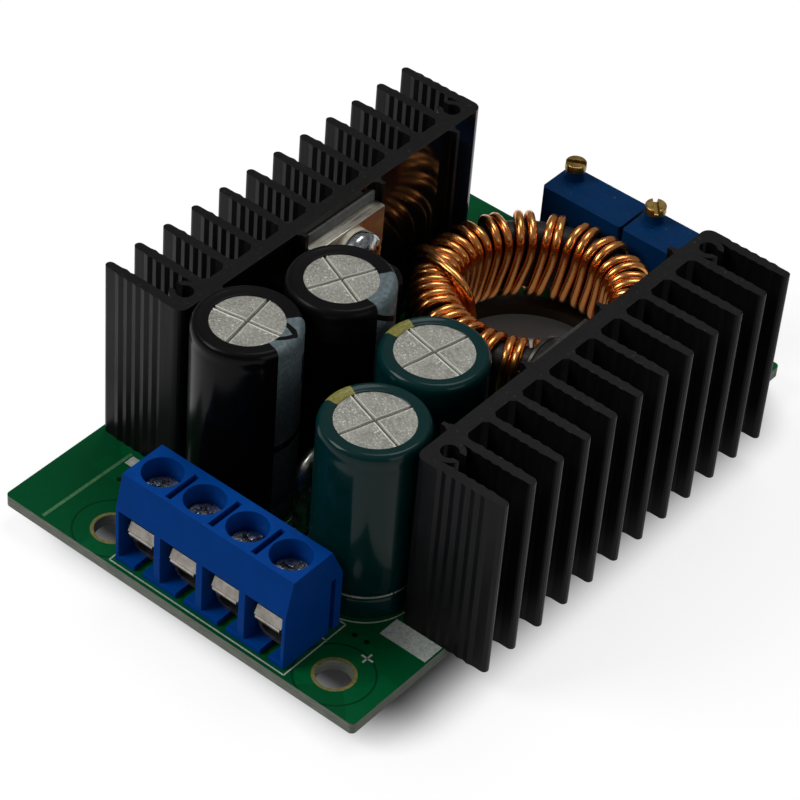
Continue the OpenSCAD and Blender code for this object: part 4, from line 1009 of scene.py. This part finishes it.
class CONVERTER_OT_capacitors(bpy.types.Operator):
    """Makes the four capacitors: shrunk sleeves, scored cans, bungs and leads"""

    bl_idname = "converter.capacitors"
    bl_label = "Capacitors"

    # Turn of each stripe, how far down its chevron stands, and turn of the score, by sleeve.
    marks = dict(zip(SLEEVES, (
        (16.0, 0.0, 10.0), (22.0, 3.6, -23.0), (175.0, 0.0, -18.0), (176.0, 0.0, -12.0))))
    # Radius of the bare disc, and the sleeve's finish and slot.
    kinds = {"input": (3.45, "black_sleeve", "sleeve_black"),
             "output": (3.7, "green_sleeve", "sleeve_green")}

    def execute(self, context):
        for node, (stripe, down, score) in self.marks.items():
            side, _, row = node.split("_")
            disc, material, slot = self.kinds[side]
            low, high = low_high(node)
            r, top = (high[0] - low[0]) / 2, high[2] - low[2]
            at = np.array([*middle(node)[:2], low[2]])
            shape = lathe(sleeve_profile(r, top, disc), 128, True)
            build(f"{side}_{row}_sleeve", moved(turned(shape, stripe), at), finish(material),
                  place=shape[0] - [0, 0, top - down], soft=50, replaces=(node,))
            wall = lathe([(3.9, 1.5), (r - 0.2, 1.5), (r - 0.2, top - 1.2), (r - 1.1, top - 0.4),
                          (disc + 0.1, top - 0.5)])
            can = joined(scored_top(disc, top - 0.2), wall)
            build(f"{side}_{row}_can", moved(turned(can, score), at), finish("can"), place=can[0],
                  soft=50, replaces=(f"{side}_can_{row}",))
            dress(finish("rubber"), f"{side}_bung_{row}")
            dress(finish("tinned"), f"{side}_leads_{row}")
        return {"FINISHED"}


def rounded(inner, outer, bottom, top, corner, steps):
    """Rectangle with round corners in radius and height, from its outer bottom corner round."""
    middles = ((outer - corner, bottom + corner), (outer - corner, top - corner),
               (inner + corner, top - corner), (inner + corner, bottom + corner))
    return np.concatenate([
        arc(*at, corner, 90 * k - 90, 90 * k, steps) for k, at in enumerate(middles)])


def spread(places, count):
    """As many places as asked for, evenly along a chain of straight steps."""
    t = np.linspace(0, len(places) - 1, count)
    return np.stack([np.interp(t, np.arange(len(places)), column) for column in places.T], -1)


class CONVERTER_OT_inductor(bpy.types.Operator):
    """Makes the ring inductor: the coated core and two wires wound side by side"""

    bl_idname = "converter.inductor"
    bl_label = "Inductor"

    # Radius of the wire, rounding and inner radius of the core, in millimetres, and the angle at
    # which each double turn crosses the core's top. A turn reaches its crossing at this part of its
    # way round the core, and lies on the core's inner wall at the other.
    wire = 0.46
    edge = 1.3
    core_in = 8.05
    crossings = (250, 264, 280.7, 296, 311.5, 326, 341.5, 357.5, 374.5, 391, 407, 422, 440.5, 457.4,
                 475.4, 493.5, 511.5, 528.5, 544, 558.5, 572, 584, 596)
    on_top = 0.42
    on_wall = 0.66
    # Angle, radius and height of the place where the loose wires start, and of the places that they
    # pass, whose heights are above the core's top. Each loose wire is moved from them by its own step.
    start = (193, 12.35, 4.6)
    passes = ((195, 12.5, -2.1), (198, 12.1, 0.2), (203, 10.9, 1.35), (209, 9.5, 1.5), (216, 8.3, 1.25),
              (223, 7.5, 0.75), (229, 6.9, -0.4), (232, 6.65, -2.1), (233, 6.6, -3.9), (233, 6.7, -5.9))
    loose = ((4.2, -0.55, -0.1), (0, 0, 0), (-3.9, 0.1, -0.35))

    def execute(self, context):
        low, high = low_high("inductor_core")
        self.centre = middle("inductor_core")
        self.core_out, self.bottom, self.top = (high[0] - low[0]) / 2, low[2], high[2]
        section = rounded(self.core_in, self.core_out, self.bottom, self.top, self.edge, 8)
        build("core_ring", moved(lathe(section, 120, True), (*self.centre[:2], 0)), finish("core"),
              replaces=("inductor_core",))
        rng = np.random.default_rng(11)
        uneven = context.scene.converter_sizes.wire_unevenness / MM
        strands = [self.strand(s, rng, uneven) for s in (0, 1)]
        strands += [self.loose_end(shift) for shift in self.loose]
        build("winding", joined(*strands), finish("enamel"),
              replaces=("inductor_winding",), soft=80)
        return {"FINISHED"}

    def about(self, r, a, z):
        """Places from a radius and an angle about the ring's middle, and a height."""
        return np.stack([self.centre[0] + r * np.cos(a), self.centre[1] + r * np.sin(a), z + 0 * a], -1)

    def strand(self, s, rng, uneven):
        """One wire: n counts turns, and its whole part and its rest give the turn and the place on the
        core's section. Radius and height follow a rectangle with round corners at the wire's distance
        from the core. The angle about the ring passes through each turn's own crossing over the top,
        and is evened out a little on the inner wall, where the wires also spread to fill the gaps.
        Each turn lies a little off, by a smooth stray and a smooth lift of its own."""
        off = self.wire + 0.04
        out_r = self.core_out + off
        loop = rounded(self.core_in - off, out_r, self.bottom - off, self.top + off,
                       self.edge + off, 10)
        loop = np.concatenate([loop, loop[:1]])
        run = np.concatenate([[0], np.cumsum(np.linalg.norm(np.diff(loop, axis=0), axis=1))])
        turns = len(self.crossings)
        n = np.linspace(0.12, turns - 0.02, turns * 40)
        part, ease = n % 1.0, n - self.on_top
        r, z = (np.interp(part, run / run[-1], column) for column in loop.T)
        k, first, last = np.arange(-1, turns + 1), self.crossings[:2], self.crossings[-2:]
        over = np.array([2 * first[0] - first[1], *self.crossings, 2 * last[1] - last[0]])
        even = ease - 0.1 * np.sin(2 * np.pi * ease)
        inside = np.exp(-(((part - self.on_wall) / 0.14) ** 2))
        steady = np.interp(even, k, np.linspace(over[0], over[-1], len(over)))
        angle = np.interp(even, k, over) * (1 - 0.25 * inside) + steady * 0.25 * inside
        side = (2 * self.wire + 0.05) / r * 180 / np.pi
        wide = np.maximum(side, np.interp(even, k, np.gradient(over)) / 2)
        angle += (s - 0.5) * (side * (1 - inside) + wide * inside)
        spot = np.arange(-1, turns + 1, 0.5)
        stray, lift = rng.normal(0, 1, (2, len(spot)))
        angle += np.interp(ease, spot, stray) * uneven / r * 30
        above_core = np.exp(-(((part - self.on_top) / 0.16) ** 2))
        z += np.abs(np.interp(ease, spot, lift)) * uneven * 0.6 * above_core
        a = np.radians(angle)
        path = self.about(r, a, z)
        feet = self.about(out_r + 0.05, a[[0, -1]], BOARD_LOW[2] - 1.8)
        above = [*feet[1, :2], BOARD_HIGH[2] + 0.6]
        path = np.concatenate([feet[:1], path, [(path[-1] + above) / 2 + [0, 0, 0.2], above, feet[1]]])
        return tube(path, self.wire, (path - self.centre)[:, [1, 0, 2]] * [-1, 1, 0])

    def loose_end(self, shift):
        """A wire that crosses over its neighbours. Its angle, radius and height pass through a few
        places, and are spread and averaged three times over to run smoothly."""
        spots = np.array([self.start, *(self.passes + np.array([0, 0, self.top]))]) + shift
        for _ in range(3):
            spots = spread(spots, 4 * len(spots))
            spots[1:-1] = (spots[:-2] + 2 * spots[1:-1] + spots[2:]) / 4
        angle, r, z = spread(spots, 90).T
        return tube(self.about(r, np.radians(angle), z), self.wire, (0.35, -0.2, 0.3))


class CONVERTER_OT_terminals(bpy.types.Operator):
    """Makes the terminal block with its cages, wire guards and clamping screws"""

    bl_idname = "converter.terminals"
    bl_label = "Terminal block"

    head = 1.3
    pitch = 0.5

    def execute(self, context):
        edge = context.scene.converter_sizes.edge_radius / MM
        softened("terminal_housing", "terminal_block", finish("block"), edge)
        for i in range(1, 5):
            dress(finish("plated"), f"clamp_cage_{i}")
            softened(f"guard_{i}", f"wire_guard_{i}", finish("plated"), 0.08, body=f"wire_guard_{i}",
                     corner=40)
            self.screw(i)
        return {"FINISHED"}

    def screw(self, i):
        """Head with a rounded rim and a cross recess, and a shank with a fine thread: the radius is a
        triangle wave of height and angle."""
        low, high = low_high(f"clamp_screw_{i}")
        r, head, tip = (high[0] - low[0]) / 2, self.head, low[2]
        points, faces = lathe(np.concatenate([
            [(0, 0), (r - 0.12, 0), (r, 0.12), (r, head - 0.2)],
            arc(r - 0.2, head - 0.2, 0.2, 0, 90, 6), level(r - 0.25, 0, head, 40)]))
        x, y, z = np.abs(points).T
        across, along = (np.clip(1 - (v - 0.22) / 0.08, 0, 1) for v in (y, x))
        deep = np.maximum(across * (x < r - 0.05), along * (y < 1.25))
        points[:, 2] += high[2] - head - np.where(z > head - 0.25, deep * 0.62, 0)
        h = np.linspace(tip + 0.7, high[2] - head, 90)[:, None]
        a = np.arange(48) * 2 * np.pi / 48
        wave = np.abs(((h / self.pitch - a / (2 * np.pi)) % 1.0) - 0.5) * 2
        rr = 1.2 - 0.16 * (1 - wave)
        rod = np.stack([rr * np.cos(a), rr * np.sin(a), h + 0 * a], -1).reshape(-1, 3)
        nose = lathe([(0, tip), (0.55, tip), (1.04, tip + 0.7)], 48)
        whole = joined((points, faces), (rod, grid_faces(90, 48, False, True)), nose)
        whole = moved(turned(whole, 12 + 17 * i), (*middle(f"clamp_screw_{i}")[:2], 0))
        build(f"clamping_screw_{i}", whole, finish("screw"), body=f"clamp_screw_{i}",
              replaces=(f"clamp_screw_{i}",), soft=35)


class CONVERTER_OT_trimmers(bpy.types.Operator):
    """Makes both trimmers with their pins and brass adjusting screws"""

    bl_idname = "converter.trimmers"
    bl_label = "Trimmers"

    head = 0.9
    turns = (30.0, -50.0)

    def execute(self, context):
        for i in (1, 2):
            softened(f"trimmer_{i}", f"trimmer_case_{i}", finish("trimmer"), 0.12)
            dress(finish("tinned"), f"trimmer_pins_{i}")
            self.screw(i)
        return {"FINISHED"}

    def screw(self, i):
        """Slotted brass head over its shaft: a turned profile whose top falls inside the slot."""
        low, high = low_high(f"trimmer_screw_{i}")
        r, top = (high[0] - low[0]) / 2, high[2] - low[2]
        seat = top - self.head
        points, faces = lathe(np.concatenate([
            [(0, 0), (0.65, 0), (0.65, seat), (r - 0.1, seat), (r, seat + 0.1)],
            arc(r - 0.12, top - 0.12, 0.12, 0, 90, 5), level(r - 0.16, 0, top, 28)]))
        deep = np.clip(1 - (np.abs(points[:, 1]) - 0.2) / 0.05, 0, 1)
        points[:, 2] -= np.where(points[:, 2] > top - 0.3, deep * 0.45, 0)
        at = (*middle(f"trimmer_screw_{i}")[:2], low[2])
        whole = moved(turned((points, faces), self.turns[i - 1]), at)
        build(f"adjusting_screw_{i}", whole, finish("brass"), body=f"trimmer_screw_{i}",
              replaces=(f"trimmer_screw_{i}",), soft=35)


class CONVERTER_OT_small_parts(bpy.types.Operator):
    """Makes the shunt, the chips, the chip parts, the lamps and the solder joints"""

    bl_idname = "converter.small_parts"
    bl_label = "Shunt and small parts"

    # Legs in a row, their pitch and width, the axis that the rows run along, and the legs' reach.
    legged = {"amplifier_chip": (4, 1.27, 0.4, 0, 1.05), "reference_chip": (3, 1.5, 0.45, 1, 0.7)}
    # Finish, slot, count and the axis from end to end of the two-ended parts.
    ended = {"chip_resistors": ("moulding", "moulding_black", 4, 0),
             "chip_capacitors": ("ceramic", "chip_ceramic", 2, 1),
             "indicator_lamps": ("lamp", "chip_ceramic", 2, 1)}

    # Names of the CAD nodes that are soldered under the board hold one of these.
    soldered = ("_leads", "_pins", "clamp_cage", "current_shunt", "inductor_winding")

    def execute(self, context):
        self.shunt()
        self.chips()
        self.chip_parts()
        self.joints()
        return {"FINISHED"}

    @staticmethod
    def shunt():
        """Bent wire: straight legs joined by a half circle, with a slight waver along its length."""
        low, high = low_high("current_shunt")
        (x, y, _), r = middle("current_shunt"), (high[0] - low[0]) / 2
        bend = (high[1] - low[1]) / 2 - r
        rise = high[2] - r - bend
        leg = np.linspace(low[2], rise, 24)
        a = np.radians(np.linspace(180, 0, 30))[1:-1]
        aside = np.concatenate([np.full(24, -bend), bend * np.cos(a), np.full(24, bend)])
        up = np.concatenate([leg, rise + bend * np.sin(a), leg[::-1]])
        path = np.stack([x + 0.05 * np.sin(up * 1.1 + y + aside), y + aside, up], -1)
        build("shunt_wire", tube(path, r - 0.03, (1, 0, 0), 20), finish("shunt"),
              replaces=("current_shunt",), soft=80)

    def chips(self):
        """Moulded bodies with a row of flat legs on two sides."""
        for node, (legs, pitch, width, along, reach) in self.legged.items():
            low, high = low_high(node)
            across, size = 1 - along, high - low
            size -= [0, 0, 0.15]
            size[across] -= 2 * reach
            body = moved(block(size, 0.1), middle(node) + [0, 0, 0.075])
            build(f"{node}_body", body, finish("moulding"), replaces=(node,))
            row = []
            for k in range(legs):
                for s in (-1, 1):
                    foot = middle(node)
                    foot[along] += (k - (legs - 1) / 2) * pitch
                    foot[2] = low[2]
                    row.append(self.leg(foot, across, s, size[across] / 2 - 0.15, reach + 0.15, width))
            build(f"{node}_legs", joined(*row), finish("tinned"))

    @staticmethod
    def leg(foot, across, s, start, reach, width):
        """Flat leg bent like an S: a rectangle carried out of the body, down and out on the board."""
        path = np.tile(foot, (6, 1))
        path[:, across] += s * (start + reach * np.array([0.0, 0.18, 0.32, 0.46, 0.7, 1.0]))
        path[:, 2] += [0.62, 0.62, 0.5, 0.16, 0.06, 0.06]
        n, b = sides_of(path, (0, 0, 1))
        corners = ((-1, -1), (1, -1), (1, 1), (-1, 1))
        return bar(np.stack([path + 0.06 * up * n + width / 2 * out * b for up, out in corners], 1))

    def chip_parts(self):
        """Ceramic or resin blocks with a bright rounded cap at each end."""
        for node, (material, slot, count, along) in self.ended.items():
            low, high = low_high(node)
            other = 1 - along
            size = np.array([1.25, 1.25, high[2] - low[2]])
            size[along] = 2.0
            body, cap = size * [1, 1, 0.94], size.copy()
            body[along] -= 0.3
            body[other] -= 0.06
            cap[along] = 0.38
            bodies, ends = [], []
            for c in np.linspace(low[other] + size[other] / 2, high[other] - size[other] / 2, count):
                at, out = middle(node), np.zeros(3)
                at[other], out[along] = c, size[along] / 2 - 0.19
                bodies.append(moved(block(body, 0.08, 28, 14), at))
                ends += [moved(block(cap, 0.14, 28, 14), at + s * out) for s in (-1, 1)]
            build(f"{node}_bodies", joined(*bodies), finish(material), replaces=(node,))
            build(f"{node}_ends", joined(*ends), finish("solder"))

    def joints(self):
        """Solder joints under the board: fillets whose radius falls steeply and then slowly towards
        the lead's tip, round every lead."""
        z = BOARD_LOW[2]
        t = np.linspace(1, 0, 12)
        parts = []
        for node in frame["nodes"]:
            if any(part in node for part in self.soldered):
                for centre, r in lead_places(node):
                    fall = np.stack([r + 0.72 * (1 - t) ** 2.2 + 0.02, z - 1.1 * t], -1)
                    core_r = max(r - 0.02, 0.1)
                    profile = np.concatenate([[(core_r, z - 1.1)], fall, [(core_r, z)]])
                    parts.append(moved(lathe(profile, 28, True), (*centre, 0)))
        build("solder_fillets", joined(*parts), finish("solder"),
              replaces=("solder_joints",))


class VIEW3D_PT_converter(bpy.types.Panel):
    """Lists the steps and the settings that they read"""

    bl_label = "Converter module"
    bl_idname = "VIEW3D_PT_converter"
    bl_space_type = "VIEW_3D"
    bl_region_type = "UI"
    bl_category = "Converter"

    def draw(self, context):
        for step in STEPS:
            self.layout.operator(step.bl_idname)
        for held in (context.scene.converter_colours, context.scene.converter_sizes):
            for name in held.bl_rna.properties.keys():
                if name not in ("rna_type", "name"):
                    self.layout.prop(held, name)


STEPS = (
    CONVERTER_OT_stage, CONVERTER_OT_board, CONVERTER_OT_heatsinks, CONVERTER_OT_devices,
    CONVERTER_OT_capacitors, CONVERTER_OT_inductor, CONVERTER_OT_terminals, CONVERTER_OT_trimmers,
    CONVERTER_OT_small_parts,
)
CLASSES = (ConverterColours, ConverterSizes, *STEPS, VIEW3D_PT_converter)


def register():
    for item in CLASSES:
        bpy.utils.register_class(item)
    bpy.types.Scene.converter_colours = bpy.props.PointerProperty(type=ConverterColours)
    bpy.types.Scene.converter_sizes = bpy.props.PointerProperty(type=ConverterSizes)


def unregister():
    del bpy.types.Scene.converter_sizes
    del bpy.types.Scene.converter_colours
    for item in reversed(CLASSES):
        bpy.utils.unregister_class(item)


def main():
    register()
    for step in STEPS:
        family, name = step.bl_idname.split(".")
        getattr(getattr(bpy.ops, family), name)()


if __name__ == "__main__":
    main()
